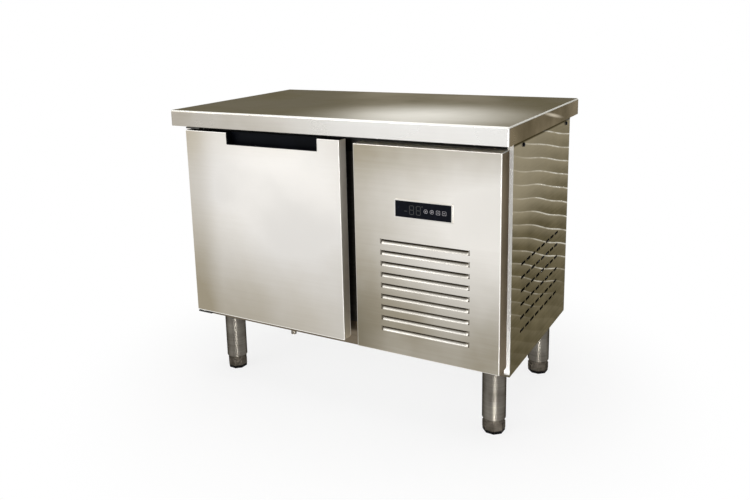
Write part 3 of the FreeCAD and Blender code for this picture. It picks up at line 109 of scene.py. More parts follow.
# The air is white, but for a dusky stretch behind the counter that the steel reflects.
air_white = (1.0, 1.0, 1.0)
air_dusk = (0.20, 0.183, 0.120)
air_on_matt = 0.45
dusk_way = (-0.4, 0.92, 0.0)
dusk_sides = (0.1, 0.6)
dusk_begins = (0.03, 0.12)
dusk_ends = (0.55, 0.9)
scene.world = bpy.data.worlds.new("studio_air")
scene.world.use_nodes = True
air = scene.world.node_tree
air_shader = air.nodes["Background"]
toward = add(air, "ShaderNodeTexCoord").outputs["Generated"]
upness = add(air, "ShaderNodeSeparateXYZ", {0: toward}).outputs["Z"]
backness = vector_step(air, "DOT_PRODUCT", toward, dusk_way)["Value"]
dusk = times(air, ease(air, upness, *dusk_begins), ease(air, backness, *dusk_sides),
             ease(air, upness, *dusk_ends, low=1.0, high=0.0))
air.links.new(tint(air, dusk, air_white, air_dusk), air_shader.inputs["Color"])
air.links.new(ease(air, rays_that_show(air), 0.0, 1.0, air_on_matt, 1.0), air_shader.inputs["Strength"])

floor_radius = 40.0
floor_sides = 96
floor_matt_to = 0.40
floor_white_from = 1.0
floor_least_glow = 0.82
floor_grey = (0.86, 0.86, 0.86, 1.0)
floor_white = (1.0, 1.0, 1.0, 1.0)
floor_shape = bmesh.new()
bmesh.ops.create_circle(floor_shape, cap_ends=True, segments=floor_sides, radius=floor_radius)
floor_mesh = bpy.data.meshes.new("studio_floor")
floor_shape.to_mesh(floor_mesh)
floor_shape.free()
floor = bpy.data.objects.new("studio_floor", floor_mesh)
scene.collection.objects.link(floor)
floor_paint = bpy.data.materials.new("studio_floor_paint")
floor_paint.use_nodes = True
paint = floor_paint.node_tree
paint.nodes.remove(paint.nodes["Principled BSDF"])
floor_place = add(paint, "ShaderNodeTexCoord").outputs["Object"]
floor_reach = vector_step(paint, "LENGTH", floor_place)["Value"]
floor_fade = ease(paint, floor_reach, floor_matt_to, floor_white_from, floor_least_glow, 1.0)
floor_glow = times(paint, rays_that_show(paint), floor_fade)
floor_matt = add(paint, "ShaderNodeBsdfDiffuse", {"Color": floor_grey}).outputs[0]
floor_lit = add(paint, "ShaderNodeEmission", {"Color": floor_white, "Strength": 1.0}).outputs[0]
floor_mixed = add(paint, "ShaderNodeMixShader", {0: floor_glow, 1: floor_matt, 2: floor_lit}).outputs[0]
paint.links.new(floor_mixed, paint.nodes["Material Output"].inputs["Surface"])
floor_mesh.materials.append(floor_paint)

# name, place, aim, width, height, watts, beam in degrees
lamps = [
    ("strip_lamp", (1.45, -2.65, 0.30), (0.1, -0.2, 0.15), 0.40, 0.5, 10, 180),
    ("floor_lamp", (1.40, -2.55, 0.10), (0.08, -0.1, -0.27), 0.80, 0.12, 5.4, 27),
    ("left_lamp", (-1.8, -2.8, 1.7), (0.0, 0.0, 0.45), 1.8, 1.6, 30, 180),
    ("ceiling_lamp", (0.1, -0.3, 3.2), (0.1, 0.0, 0.0), 2.6, 2.2, 34, 180),
    ("rear_lamp", (-0.85, 2.25, 1.25), (0.28, -0.2, 0.81), 0.9, 0.2, 0.8, 180),
]
for name, place, aim, width, height, watts, beam in lamps:
    lamp_data = bpy.data.lights.new(name, "AREA")
    lamp_data.shape = "RECTANGLE"
    lamp_data.size = width
    lamp_data.size_y = height
    lamp_data.energy = watts
    lamp_data.spread = math.radians(beam)
    lamp = bpy.data.objects.new(name, lamp_data)
    lamp.location = place
    lamp.rotation_euler = (Vector(aim) - Vector(place)).to_track_quat("-Z", "Y").to_euler()
    lamp.visible_camera = False
    scene.collection.objects.link(lamp)

camera_data = bpy.data.cameras.new("photo_camera")
camera_data.sensor_width = 36.0
camera_data.lens = 37.33
camera_data.shift_x = 0.0388
camera_data.shift_y = -0.0947
camera = bpy.data.objects.new("photo_camera", camera_data)
camera.location = (1.0546, -1.9482, 1.0682)
camera.rotation_euler = tuple(math.radians(angle) for angle in (77.89, 1.60, 30.37))
scene.collection.objects.link(camera)
scene.camera = camera


# Bottom, back and partition
# Flat sheets of galvanised steel with a faint crystal pattern, folded at their edges and screwed together.
# They close the machine bay and carry everything else.

def new_finish(name):
    """A material with its node tree and its shader."""
    finish = bpy.data.materials.new(name)
    finish.use_nodes = True
    return finish, finish.node_tree, finish.node_tree.nodes["Principled BSDF"]


def node_group(name, inputs, outputs):
    """A shader group with its sockets, its input node's outputs and its output node's inputs."""
    tree = bpy.data.node_groups.new(name, "ShaderNodeTree")
    for label, kind in inputs.items():
        tree.interface.new_socket(name=label, in_out="INPUT", socket_type=kind)
    for label, kind in outputs.items():
        tree.interface.new_socket(name=label, in_out="OUTPUT", socket_type=kind)
    return tree, tree.nodes.new("NodeGroupInput").outputs, tree.nodes.new("NodeGroupOutput").inputs


soft_clouds, cloud_in, cloud_out = node_group(
    "soft_clouds", {"Place": "NodeSocketVector", "Size": "NodeSocketFloat"}, {"Clouds": "NodeSocketFloat"})
cloud_scale = reckon(soft_clouds, "DIVIDE", 1.0, cloud_in["Size"])
cloud_noise = add(soft_clouds, "ShaderNodeTexNoise",
                  {"Vector": cloud_in["Place"], "Scale": cloud_scale, "Detail": 3.0, "Roughness": 0.5})
soft_clouds.links.new(ease(soft_clouds, cloud_noise.outputs["Fac"], 0.3, 0.7), cloud_out["Clouds"])


def clouds_of(tree, place, size):
    """Broad uneven patches from 0 to 1, about size metres across."""
    sockets = {"Place": place, "Size": size}
    return add(tree, "ShaderNodeGroup", sockets, node_tree=soft_clouds).outputs["Clouds"]


def object_place(tree):
    """The point's place in metres."""
    return add(tree, "ShaderNodeTexCoord").outputs["Object"]


def mingle(tree, *shares):
    """Adds several values, each times its share."""
    total = 0.0
    for value, share in shares:
        total = reckon(tree, "MULTIPLY_ADD", value, share, total)
    return total


def dent(tree, shader, depth, height, strength=0.6):
    """Roughens the surface by a height from 0 to 1 that stands for depth metres."""
    bump = add(tree, "ShaderNodeBump", {"Height": height, "Distance": depth, "Strength": strength})
    tree.links.new(bump.outputs["Normal"], shader.inputs["Normal"])


def coat(tree, shader, tone, colours, rough, height, depth, metal=0.0):
    """Takes colour and roughness from their first to their second value by the tone, and dents the skin."""
    tree.links.new(tint(tree, tone, *colours), shader.inputs["Base Color"])
    tree.links.new(ease(tree, tone, 0.0, 1.0, *rough), shader.inputs["Roughness"])
    shader.inputs["Metallic"].default_value = metal
    dent(tree, shader, depth, height)


def dress(finish, *names):
    """Gives a finish to parts that keep their own shape."""
    for name in names:
        cad_nodes[name].data.materials[0] = finish


crystals_per_metre = 95.0
galvanised, tree, shader = new_finish("galvanised_sheet_finish")
place = object_place(tree)
crystals = add(tree, "ShaderNodeTexVoronoi", {"Vector": place, "Scale": crystals_per_metre})
crystal = add(tree, "ShaderNodeSeparateColor", {0: crystals.outputs["Color"]}).outputs[0]
spangle = mingle(tree, (crystal, 0.5), (clouds_of(tree, place, 0.12), 0.5))
coat(tree, shader, spangle, colours=((0.40, 0.40, 0.39), (0.62, 0.62, 0.60)), rough=(0.52, 0.36),
     height=spangle, depth=0.00008, metal=1.0)
dress(galvanised, "back_panel", "bottom_panel", "partition_skin", "fan_shroud", "worktop_bearer")


# Side panels and front frame
# Brushed stainless sheet, the grain along the counter. The sides are folded in at their edges and punched
# with rows of vent slots; rails and posts of the same sheet frame the door and the machine panel.

brush_marks, brush_in, brush_out = node_group(
    "brush_marks", {"Place": "NodeSocketVector", "Stretch": "NodeSocketVector"},
    {"Marks": "NodeSocketFloat", "Height": "NodeSocketFloat"})
drawn = vector_step(brush_marks, "MULTIPLY", brush_in["Place"], brush_in["Stretch"])["Vector"]
broad = add(brush_marks, "ShaderNodeTexNoise",
            {"Vector": drawn, "Scale": 1.0, "Detail": 4.0, "Roughness": 0.65}).outputs["Fac"]
fine = add(brush_marks, "ShaderNodeTexNoise", {"Vector": drawn, "Scale": 6.0, "Detail": 2.0}).outputs["Fac"]
brush_marks.links.new(ease(brush_marks, broad, 0.3, 0.7), brush_out["Marks"])
brush_marks.links.new(mingle(brush_marks, (broad, 0.4), (fine, 0.6)), brush_out["Height"])

# Marks in a metre, along the grain and across it.
grain_long = 3.0
grain_cross = 170.0
along_x = (grain_long, grain_cross, grain_cross)
along_y = (grain_cross, grain_long, grain_cross)
along_z = (grain_cross, grain_cross, grain_long)
quarter_turn = 0.25


def brushed_finish(name, grain, rough, cloud=0.22, marks=0.4, streak=0.5, edge=(1.0, 1.0, 1.0),
                   depth=0.00004):
    """Brushed steel without its colour yet: returns also the place and a tone from 0 to 1."""
    finish, tree, shader = new_finish(name)
    place = object_place(tree)
    sockets = {"Place": place, "Stretch": grain}
    brushed = add(tree, "ShaderNodeGroup", sockets, node_tree=brush_marks).outputs
    tone = mingle(tree, (brushed["Marks"], marks), (clouds_of(tree, place, cloud), 1.0 - marks))
    tree.links.new(ease(tree, tone, 0.0, 1.0, rough[1], rough[0]), shader.inputs["Roughness"])
    shader.inputs["Metallic"].default_value = 1.0
    shader.inputs["Anisotropic"].default_value = streak
    shader.inputs["Anisotropic Rotation"].default_value = quarter_turn
    shader.inputs["Specular Tint"].default_value = (*edge, 1.0)
    dent(tree, shader, depth, brushed["Height"])
    return finish, tree, shader, place, tone


def brushed_steel(name, grain, rough, dull, clear, on=(), **options):
    """Brushed steel of one colour, cloudy between a dull and a clear tone, given to the parts it is on."""
    finish, tree, shader, place, tone = brushed_finish(name, grain, rough, **options)
    tree.links.new(tint(tree, tone, dull, clear), shader.inputs["Base Color"])
    dress(finish, *on)
    return finish


def axes_of(tree, place):
    """The three numbers of a place."""
    return add(tree, "ShaderNodeSeparateXYZ", {0: place}).outputs


# The side sheets are painted darker, as painted shade. Thin bright lines of painted reflection, such as a
# rippled rolled sheet shows, spread like a fan from a point in front. The sheets carry painted light towards
# the top and in a belt, painted shade under the worktop, and a painted highlight on their front folds.
side_shade_dull = (0.088, 0.077, 0.050)
side_shade_clear = (0.145, 0.127, 0.085)
side_painted_light = (0.34, 0.30, 0.22)
belt_painted_light = (0.40, 0.36, 0.275)
ripple_sheen_colour = (0.44, 0.395, 0.30)
ripple_reflection_colour = (0.97, 0.93, 0.82)
under_worktop_shade = (0.020, 0.017, 0.012)
side_fold_highlight_colour = (0.98, 0.97, 0.94)
ripple_fan_y = -2.268
ripple_fan_z = 1.1576
ripple_first = -0.1798
ripple_step = 0.01606
ripple_wobble = 0.5
ripple_matt = 0.7
# Painted shade in a band just under the worktop's overhang.
under_worktop_shade_z = (0.752, 0.758)
side_fold_y = (-0.245, -0.242)
side_fold_foot = (0.188, 0.196)

side_steel, tree, shader, place, tone = brushed_finish(
    "side_steel", along_y, rough=(0.34, 0.46), cloud=0.16, edge=(0.55, 0.51, 0.42))
spot = axes_of(tree, place)
fan_up = reckon(tree, "SUBTRACT", spot["Z"], ripple_fan_z)
fan_out = reckon(tree, "SUBTRACT", spot["Y"], ripple_fan_y)
fan_fall = reckon(tree, "SUBTRACT", ripple_first, reckon(tree, "DIVIDE", fan_up, fan_out))
ripple_count = reckon(tree, "DIVIDE", fan_fall, ripple_step)
wobble = add(tree, "ShaderNodeTexNoise", {"Vector": place, "Scale": 4.0, "Detail": 0.0}).outputs["Fac"]
ripple = reckon(tree, "FRACT", reckon(tree, "MULTIPLY_ADD", wobble, ripple_wobble, ripple_count))
# The bright lines are painted reflection, and the soft fall below each is a painted sheen.
ripple_crest = reckon(tree, "MAXIMUM", ease(tree, ripple, start=0.0, end=0.11, low=1.0, high=0.0),
                      ease(tree, ripple, start=0.95, end=1.0))
ripple_rear = ease(tree, spot["Y"], start=-0.27, end=0.10, low=0.22, high=1.0)
ripple_high = ease(tree, spot["Z"], start=0.26, end=0.40)
ripple_patch = ease(tree, clouds_of(tree, place, 0.07), start=0.0, end=0.8, low=0.45, high=1.0)
ripple_right = ease(tree, spot["X"], start=-0.1, end=0.1, low=0.3, high=1.0)
ripple_painted_reflection = times(tree, ripple_crest, ripple_rear, ripple_high, ripple_patch, ripple_right)
ripple_painted_sheen = times(tree, ease(tree, ripple, start=0.0, end=0.8, low=1.0, high=0.0),
                     ease(tree, spot["Z"], start=0.30, end=0.62, low=0.1, high=0.55))
# Painted light: paler towards the top, and in a belt across the upper middle that is strongest at the front.
side_top_light = ease(tree, spot["Z"], start=0.55, end=0.78, low=0.0, high=0.45)
side_light_belt = times(tree, ease(tree, spot["Z"], start=0.50, end=0.66),
                  ease(tree, spot["Y"], start=-0.25, end=0.25, low=0.85, high=0.25))
# A painted highlight on the front folds, made non-metallic so that it shows.
side_fold_highlight = times(tree, ease(tree, spot["Y"], *side_fold_y, low=1.0, high=0.0),
                  ease(tree, spot["Z"], *side_fold_foot))
side_colour = tint(tree, tone, side_shade_dull, side_shade_clear)
side_layers = ((side_top_light, side_painted_light), (side_light_belt, belt_painted_light), (ripple_painted_sheen, ripple_sheen_colour),
               (ripple_painted_reflection, ripple_reflection_colour), (ease(tree, spot["Z"], *under_worktop_shade_z), under_worktop_shade),
               (side_fold_highlight, side_fold_highlight_colour))
for share, colour in side_layers:
    side_colour = tint(tree, share, side_colour, colour)
tree.links.new(side_colour, shader.inputs["Base Color"])
# Where painted highlight and reflection lie, the steel is made less metallic so that their colour shows.
side_painted_highlights = reckon(tree, "MAXIMUM", side_fold_highlight, times(tree, ripple_painted_reflection, ripple_matt))
tree.links.new(ease(tree, side_painted_highlights, 0.0, 1.0, low=1.0, high=0.0), shader.inputs["Metallic"])
dress(side_steel, "left_side_panel", "right_side_panel")

# The hinge post, mullion, sill and top rail lie in the gaps behind the door and panel, and are painted dark
# as painted shade; the top rail is nearly black.
brushed_steel("frame_shade_steel", along_x, rough=(0.32, 0.44), dull=(0.055, 0.052, 0.045),
              clear=(0.10, 0.096, 0.085), on=["hinge_stile", "mullion"])
brushed_steel("sill_shade_steel", along_x, rough=(0.32, 0.44), dull=(0.10, 0.08, 0.055),
              clear=(0.18, 0.147, 0.105), on=["bottom_rail"])
brushed_steel("rail_shade_steel", along_x, rough=(0.40, 0.52), dull=(0.012, 0.012, 0.012),
              clear=(0.030, 0.030, 0.030), edge=(0.2, 0.2, 0.2), on=["top_rail"])


# Insulation, chamber liner and drain
# Foam fills the space between the outer sheets and the liner, which is folded from thin stainless with
# rounded corners. The drain is a stub of pipe through its floor, with a thinner end for a hose.

cells_per_metre = 420.0
foam_finish, tree, shader = new_finish("insulation_foam_finish")
place = object_place(tree)
cells = add(tree, "ShaderNodeTexVoronoi", {"Vector": place, "Scale": cells_per_metre}).outputs["Distance"]
foam_tone = mingle(tree, (cells, 0.6), (clouds_of(tree, place, 0.08), 0.5))
coat(tree, shader, foam_tone, colours=((0.80, 0.66, 0.36), (0.62, 0.46, 0.20)), rough=(0.75, 0.95),
     height=cells, depth=0.0006)
dress(foam_finish, "insulation_foam", "door_foam")

brushed_steel("liner_steel", along_x, rough=(0.26, 0.38), dull=(0.52, 0.515, 0.49), clear=(0.74, 0.735, 0.71),
              cloud=0.30, on=["inner_liner", "shelf_rails"])
brushed_steel("drain_steel", along_z, rough=(0.38, 0.50), dull=(0.13, 0.115, 0.095), clear=(0.21, 0.19, 0.16),
              cloud=0.02, on=["drain_spigot"])


# Wire shelf
# Bright wires lie side by side across two side rods and three cross rods, and are welded to them. The shelf
# rests on the rails of the chamber.

def geometry_tree(name, inputs):
    """A Geometry Nodes tree with its named inputs, their identifiers and its end."""
    tree = bpy.data.node_groups.new(name, "GeometryNodeTree")
    tree.interface.new_socket(name="Shape", in_out="OUTPUT", socket_type="NodeSocketGeometry")
    tags = {}
    for label, kind in inputs.items():
        tags[label] = tree.interface.new_socket(name=label, in_out="INPUT", socket_type=kind).identifier
    return tree, tags, tree.nodes.new("NodeGroupInput").outputs, tree.nodes.new("NodeGroupOutput").inputs


def named_value(tree, name, kind):
    """An attribute that the tree's own mesh carries."""
    return add(tree, "GeometryNodeInputNamedAttribute", {"Name": name}, data_type=kind).outputs["Attribute"]


def end_tree(tree, shape, finish, end):
    """Makes instances real and gives them their finish."""
    real = add(tree, "GeometryNodeRealizeInstances", {0: shape}).outputs[0]
    finished = add(tree, "GeometryNodeSetMaterial", {"Geometry": real, "Material": finish}).outputs[0]
    tree.links.new(finished, end["Shape"])


sharp_from = math.radians(34)


def link_mesh(name, mesh):
    """An object at the origin that shows a mesh, smooth but for its sharp edges."""
    mesh.polygons.foreach_set("use_smooth", [True] * len(mesh.polygons))
    mesh.set_sharp_from_angle(angle=sharp_from)
    piece = bpy.data.objects.new(name, mesh)
    scene.collection.objects.link(piece)
    return piece


def grow(name, seed, tree, tags, **values):
    """Runs a tree on a seed mesh and keeps the result as a plain mesh."""
    start = bpy.data.objects.new(name + "_seed", seed)
    modifier = start.modifiers.new("growth", "NODES")
    modifier.node_group = tree
    for label, value in values.items():
        modifier[tags[label]] = value
    scene.collection.objects.link(start)
    held = bpy.context.evaluated_depsgraph_get()
    mesh = bpy.data.meshes.new_from_object(start.evaluated_get(held), depsgraph=held)
    mesh.name = name
    bpy.data.objects.remove(start)
    return link_mesh(name, mesh)


def belong(piece, body, slot, *stands_for):
    """Says what a piece moves with and hides the parts it stands for. The slot is not used."""
    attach(piece, body)
    if stands_for:
        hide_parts(*stands_for)


rod_tree, rod_tags, rod_in, rod_end = geometry_tree(
    "rods_along_lines",
    {"Lines": "NodeSocketGeometry", "Sides": "NodeSocketInt", "Finish": "NodeSocketMaterial"})
rod_paths = add(rod_tree, "GeometryNodeMeshToCurve", {0: rod_in["Lines"]}).outputs[0]
rod_round = add(rod_tree, "GeometryNodeCurvePrimitiveCircle",
                {"Resolution": rod_in["Sides"], "Radius": 1.0}).outputs["Curve"]
rod_tubes = add(rod_tree, "GeometryNodeCurveToMesh",
                {"Curve": rod_paths, "Profile Curve": rod_round, "Fill Caps": True,
                 "Scale": named_value(rod_tree, "rod_radius", "FLOAT")}).outputs[0]
end_tree(rod_tree, rod_tubes, rod_in["Finish"], rod_end)


def rods(name, lines, sides, finish):
    """Round rods along open or closed lines, each with its points and its radius in millimetres."""
    points, edges, radii = [], [], []
    for line, radius, closed in lines:
        first = len(points)
        points += [Vector(point) * MM for point in line]
        radii += [radius * MM] * len(line)
        edges += [(i, i + 1) for i in range(first, len(points) - 1)]
        if closed:
            edges.append((len(points) - 1, first))
    seed = bpy.data.meshes.new(name + "_lines")
    seed.from_pydata(points, edges, [])
    seed.attributes.new("rod_radius", "FLOAT", "POINT").data.foreach_set("value", radii)
    return grow(name, seed, rod_tree, rod_tags, Sides=sides, Finish=finish)


wire_chrome = brushed_steel("wire_chrome", along_y, rough=(0.12, 0.24), dull=(0.58, 0.58, 0.56),
                            clear=(0.80, 0.80, 0.79), cloud=0.05, on=["temperature_probe"])

shelf_x = (-415.0, 18.0)
shelf_y = (-199.0, 168.0)
shelf_frame_z = 473.0
shelf_frame_radius = 3.0
shelf_wire_z = 477.0
shelf_wire_radius = 2.0
shelf_wire_count = 18
shelf_wire_sides = 14
rod_rows = (shelf_y[0] + shelf_frame_radius, (shelf_y[0] + shelf_y[1]) / 2, shelf_y[1] - shelf_frame_radius)
shelf_lines = []
for x in shelf_x:
    shelf_lines.append(([(x, y, shelf_frame_z) for y in shelf_y], shelf_frame_radius, False))
for y in rod_rows:
    shelf_lines.append(([(x, y, shelf_frame_z) for x in shelf_x], shelf_frame_radius, False))
for i in range(shelf_wire_count):
    x = shelf_x[0] + (shelf_x[1] - shelf_x[0]) * (i + 1) / (shelf_wire_count + 1)
    shelf_lines.append(([(x, y, shelf_wire_z) for y in shelf_y], shelf_wire_radius, False))
shelf = rods("shelf_wires", shelf_lines, shelf_wire_sides, wire_chrome)
belong(shelf, "cabinet", "wire_chrome", "wire_shelf")


# Chamber cooler
# A coil of aluminium fins stands behind a folded stainless cover. A small motor turns a plastic fan in the
# cover's round opening, behind a guard of welded wire rings.

# The fins stand edge on, a step apart along the counter. At a scale of 1 the wave is pi / 10 metres long.
fin_step = 0.0026
fin_scale = math.pi / 10.0 / fin_step
fin_metal, tree, shader = new_finish("fin_aluminium_finish")
place = object_place(tree)
fins = add(tree, "ShaderNodeTexWave", {"Vector": place, "Scale": fin_scale, "Distortion": 0.4, "Detail": 1.0},
           wave_type="BANDS", bands_direction="X", wave_profile="SIN").outputs["Fac"]
fin_dust = ease(tree, clouds_of(tree, place, 0.06), 0.0, 1.0, low=0.6, high=1.0)
coat(tree, shader, times(tree, fins, fin_dust), colours=((0.30, 0.30, 0.30), (0.72, 0.72, 0.71)),
     rough=(0.55, 0.32), height=fins, depth=0.0006, metal=1.0)
dress(fin_metal, "evaporator_coil", "condenser_coil")


def moulded(name, deep, pale, rough, on=(), pebble=900.0, depth=0.00006, gloss=0.5):
    """Moulded plastic or rubber, uneven in colour and finely pebbled, given to the parts it is on."""
    finish, tree, shader = new_finish(name)
    place = object_place(tree)
    skin = add(tree, "ShaderNodeTexNoise", {"Vector": place, "Scale": pebble, "Detail": 2.0}).outputs["Fac"]
    tone = mingle(tree, (skin, 0.4), (clouds_of(tree, place, 0.07), 0.6))
    coat(tree, shader, tone, (deep, pale), rough, height=skin, depth=depth)
    shader.inputs["Specular IOR Level"].default_value = gloss
    dress(finish, *on)
    return finish


moulded("fan_plastic_finish", deep=(0.020, 0.021, 0.023), pale=(0.045, 0.046, 0.050), rough=(0.42, 0.56),
        on=["evaporator_fan", "condenser_fan"])
moulded("motor_paint", deep=(0.010, 0.010, 0.011), pale=(0.028, 0.028, 0.030), rough=(0.26, 0.40),
        pebble=420.0, depth=0.00012, on=["evaporator_fan_motor", "condenser_fan_motor", "compressor"])
brushed_steel("cover_steel", along_z, rough=(0.46, 0.60), dull=(0.30, 0.30, 0.29), clear=(0.44, 0.44, 0.42),
              cloud=0.15, on=["evaporator_cover"])

guard_centre = Vector((-83.5, -7.5, 601.0))
guard_rings = (26.0, 52.0, 78.0)
guard_reach = 86.0
guard_wire_radius = 1.5
guard_wire_sides = 10
guard_bars = 4
ring_points = 48


def across_fan(angle):
    """The way from the fan's axis at an angle."""
    return Vector((0.0, math.cos(angle), math.sin(angle)))


guard_lines = []
for radius in guard_rings:
    ring = [guard_centre + radius * across_fan(2 * math.pi * i / ring_points) for i in range(ring_points)]
    guard_lines.append((ring, guard_wire_radius, True))
for turn in range(guard_bars):
    reach = guard_reach if turn % 2 == 0 else guard_rings[-1]
    across = across_fan(turn * math.pi / guard_bars) * reach
    guard_lines.append(([guard_centre - across, guard_centre + across], guard_wire_radius, False))
guard = rods("fan_guard_wires", guard_lines, guard_wire_sides, wire_chrome)
belong(guard, "cabinet", "wire_chrome", "fan_guard")


# Condensing unit
# A black compressor stands on four ribbed rubber feet. Copper pipes join it to the finned coil behind the
# machine panel, the drier and the chamber cooler; a second fan blows through the coil's shroud.

merge_distance = 0.000005


def join_rows(shape, first, second, closed=False):
    """Faces between two rows of points, of which one may be a single tip."""
    count = max(len(first), len(second))
    for i in range(count if closed else count - 1):
        corners = [first[i % len(first)], first[(i + 1) % len(first)]]
        corners += [second[(i + 1) % len(second)], second[i % len(second)]]
        shape.faces.new(list(dict.fromkeys(corners)))


def turned(shape, profile, centre, sides, first=0.0):
    """Turns a profile of radius and height round an upright line, in millimetres, and closes its ends."""
    rings = []
    for radius, height in profile:
        count = sides if radius > 0 else 1
        ring = []
        for angle in [first + 2 * math.pi * i / sides for i in range(count)]:
            x = centre[0] + radius * math.cos(angle)
            y = centre[1] + radius * math.sin(angle)
            ring.append(shape.verts.new((x * MM, y * MM, height * MM)))
        rings.append(ring)
    for low, high in zip(rings, rings[1:]):
        join_rows(shape, low, high, closed=True)


def closed_mesh(name, shape):
    """Joins a finished shape's doubles, turns its faces outward and makes it a mesh."""
    bmesh.ops.remove_doubles(shape, verts=shape.verts, dist=merge_distance)
    bmesh.ops.recalc_face_normals(shape, faces=shape.faces)
    mesh = bpy.data.meshes.new(name)
    shape.to_mesh(mesh)
    shape.free()
    return mesh


def set_piece(shape, name, finish, body, slot, *stands_for):
    """Turns a finished shape into a piece of the counter."""
    mesh = closed_mesh(name, shape)
    mesh.materials.append(finish)
    belong(link_mesh(name, mesh), body, slot, *stands_for)


mount_rubber = moulded("mount_rubber_finish", deep=(0.010, 0.010, 0.010), pale=(0.030, 0.029, 0.028),
                       rough=(0.70, 0.90), pebble=600.0, depth=0.0001)
grommet_x = (223, 363)
grommet_y = (78, 178)
grommet_sides = 28
grommet_profile = [(0, 186), (11, 186), (12, 187), (12, 190.5), (9.5, 192), (9.5, 193.5), (11.8, 195),
                   (11.8, 197), (9.5, 198.5), (9.5, 200), (11.5, 201.5), (11.5, 203.4), (11, 204), (0, 204)]
grommets = bmesh.new()
for x in grommet_x:
    for y in grommet_y:
        turned(grommets, grommet_profile, (x, y), grommet_sides)
set_piece(grommets, "ribbed_grommets", mount_rubber, "cabinet", "mount_rubber", "compressor_grommets")

copper, tree, shader = new_finish("copper_finish")
place = object_place(tree)
tarnish = mingle(tree, (clouds_of(tree, place, 0.03), 0.6), (clouds_of(tree, place, 0.006), 0.4))
coat(tree, shader, tarnish, colours=((0.78, 0.40, 0.24), (0.42, 0.20, 0.12)), rough=(0.22, 0.48),
     height=tarnish, depth=0.00004, metal=1.0)
dress(copper, "filter_drier", "discharge_pipe", "suction_pipe", "liquid_pipe", "capillary_pipe")
moulded("housing_plastic_finish", deep=(0.30, 0.30, 0.29), pale=(0.40, 0.40, 0.39), rough=(0.45, 0.60),
        on=["controller_housing", "electrical_box", "condensate_pan", "cable_gland"])


# Legs and feet
# Round brushed tubes, each welded to a square plate bolted under the case. The duller eight-sided foot is
# turned by hand: its threaded stud runs up into the tube, and a black sole keeps the floor from scratches.

round_z = (6.0, 6.0, 240.0)
leg_edge = (0.06, 0.06, 0.06)
brushed_steel("leg_steel_finish", round_z, rough=(0.42, 0.47), dull=(0.105, 0.095, 0.080),
              clear=(0.195, 0.180, 0.155), cloud=0.05, streak=0.75, edge=leg_edge,
              on=["leg_front_left", "leg_front_right", "leg_rear_left", "leg_rear_right"])
grip_steel = brushed_steel("grip_steel_finish", round_z, rough=(0.64, 0.74), dull=(0.050, 0.043, 0.034),
                           clear=(0.112, 0.098, 0.080), cloud=0.02, streak=0.0, edge=leg_edge)
sole_plastic = moulded("sole_plastic", deep=(0.001, 0.001, 0.001), pale=(0.003, 0.003, 0.003),
                       rough=(0.60, 0.80), gloss=0.03)

leg_x = {"left": -402, "right": 432}
leg_y = {"front": -187, "rear": 197}
grip_sides = 8
grip_turn = math.radians(19.4)
neck_sides = 48
stud_sides = 24
sole_profile = [(0, 0), (25.6, 0), (27.8, 1.6), (28.8, 4.0), (28.8, 9.6), (0, 9.6)]
grip_profile = [(0, 9.4), (28.6, 9.4), (29.3, 10.0), (29.5, 11.0), (29.5, 28.6), (28.9, 30.2), (27.4, 31.0),
                (0, 31.0)]
neck_profile = [(0, 30.5), (27.3, 30.5), (27.5, 31.4), (27.5, 39.8), (27.1, 40.7), (26.3, 41.0), (0, 41.0)]
stud_radius = 8.0
stud_root = 6.9
stud_tip = 5.5
stud_z = (40.5, 117.0)
thread_first = 41.5
thread_step = 2.5
thread_count = 30
stud_profile = [(0, stud_z[0]), (stud_root, stud_z[0])]
for i in range(thread_count):
    stud_profile.append((stud_radius, thread_first + i * thread_step))
    stud_profile.append((stud_root, thread_first + (i + 0.5) * thread_step))
stud_profile += [(stud_tip, stud_z[1]), (0, stud_z[1])]
for side, x in leg_x.items():
    for end, y in leg_y.items():
        foot = bmesh.new()
        turned(foot, grip_profile, (x, y), grip_sides, grip_turn)
        turned(foot, neck_profile, (x, y), neck_sides)
        turned(foot, stud_profile, (x, y), stud_sides)
        corner = f"foot_{end}_{side}"
        set_piece(foot, f"{corner}_grip", grip_steel, corner, "leg_steel", corner)
        sole = bmesh.new()
        turned(sole, sole_profile, (x, y), grip_sides, grip_turn)
        set_piece(sole, f"{corner}_sole", sole_plastic, corner, "mount_rubber")


# Worktop
# One stainless sheet folded down all round over a core board, its folds slightly rounded. The top is painted
# darker than the edges as painted shade, with a matt painted highlight near the front and painted highlight
# lines on the folds; the ends are painted dark as shade, and the right end has a long pale streak.

soft_patch, patch_in, patch_out = node_group(
    "soft_patch", {"Place": "NodeSocketVector", "Centre": "NodeSocketVector", "Reach": "NodeSocketVector"},
    {"Patch": "NodeSocketFloat"})
patch_offset = vector_step(soft_patch, "SUBTRACT", patch_in["Place"], patch_in["Centre"])["Vector"]
patch_share = vector_step(soft_patch, "DIVIDE", patch_offset, patch_in["Reach"])["Vector"]
patch_length = vector_step(soft_patch, "LENGTH", patch_share)["Value"]
soft_patch.links.new(ease(soft_patch, patch_length, 0.0, 1.0, low=1.0, high=0.0), patch_out["Patch"])


def patch_of(tree, place, centre, reach):
    """A soft spot that is 1 at its centre and 0 at its reach."""
    sockets = {"Place": place, "Centre": centre, "Reach": reach}
    return add(tree, "ShaderNodeGroup", sockets, node_tree=soft_patch).outputs["Patch"]


# The dark colour of the top is painted shade.
top_painted_shade = (0.20, 0.177, 0.112)
top_painted_highlight = (0.97, 0.94, 0.86)
top_more_rough = 0.14
edge_dull = (0.34, 0.31, 0.258)
edge_clear = (0.80, 0.79, 0.765)
end_shade_dull = (0.060, 0.050, 0.032)
end_shade_clear = (0.23, 0.195, 0.14)
streak_pale = (0.72, 0.67, 0.57)
streak_slope = 0.185
worktop_fold_highlight = (0.98, 0.97, 0.91)
matt_metal = 0.05

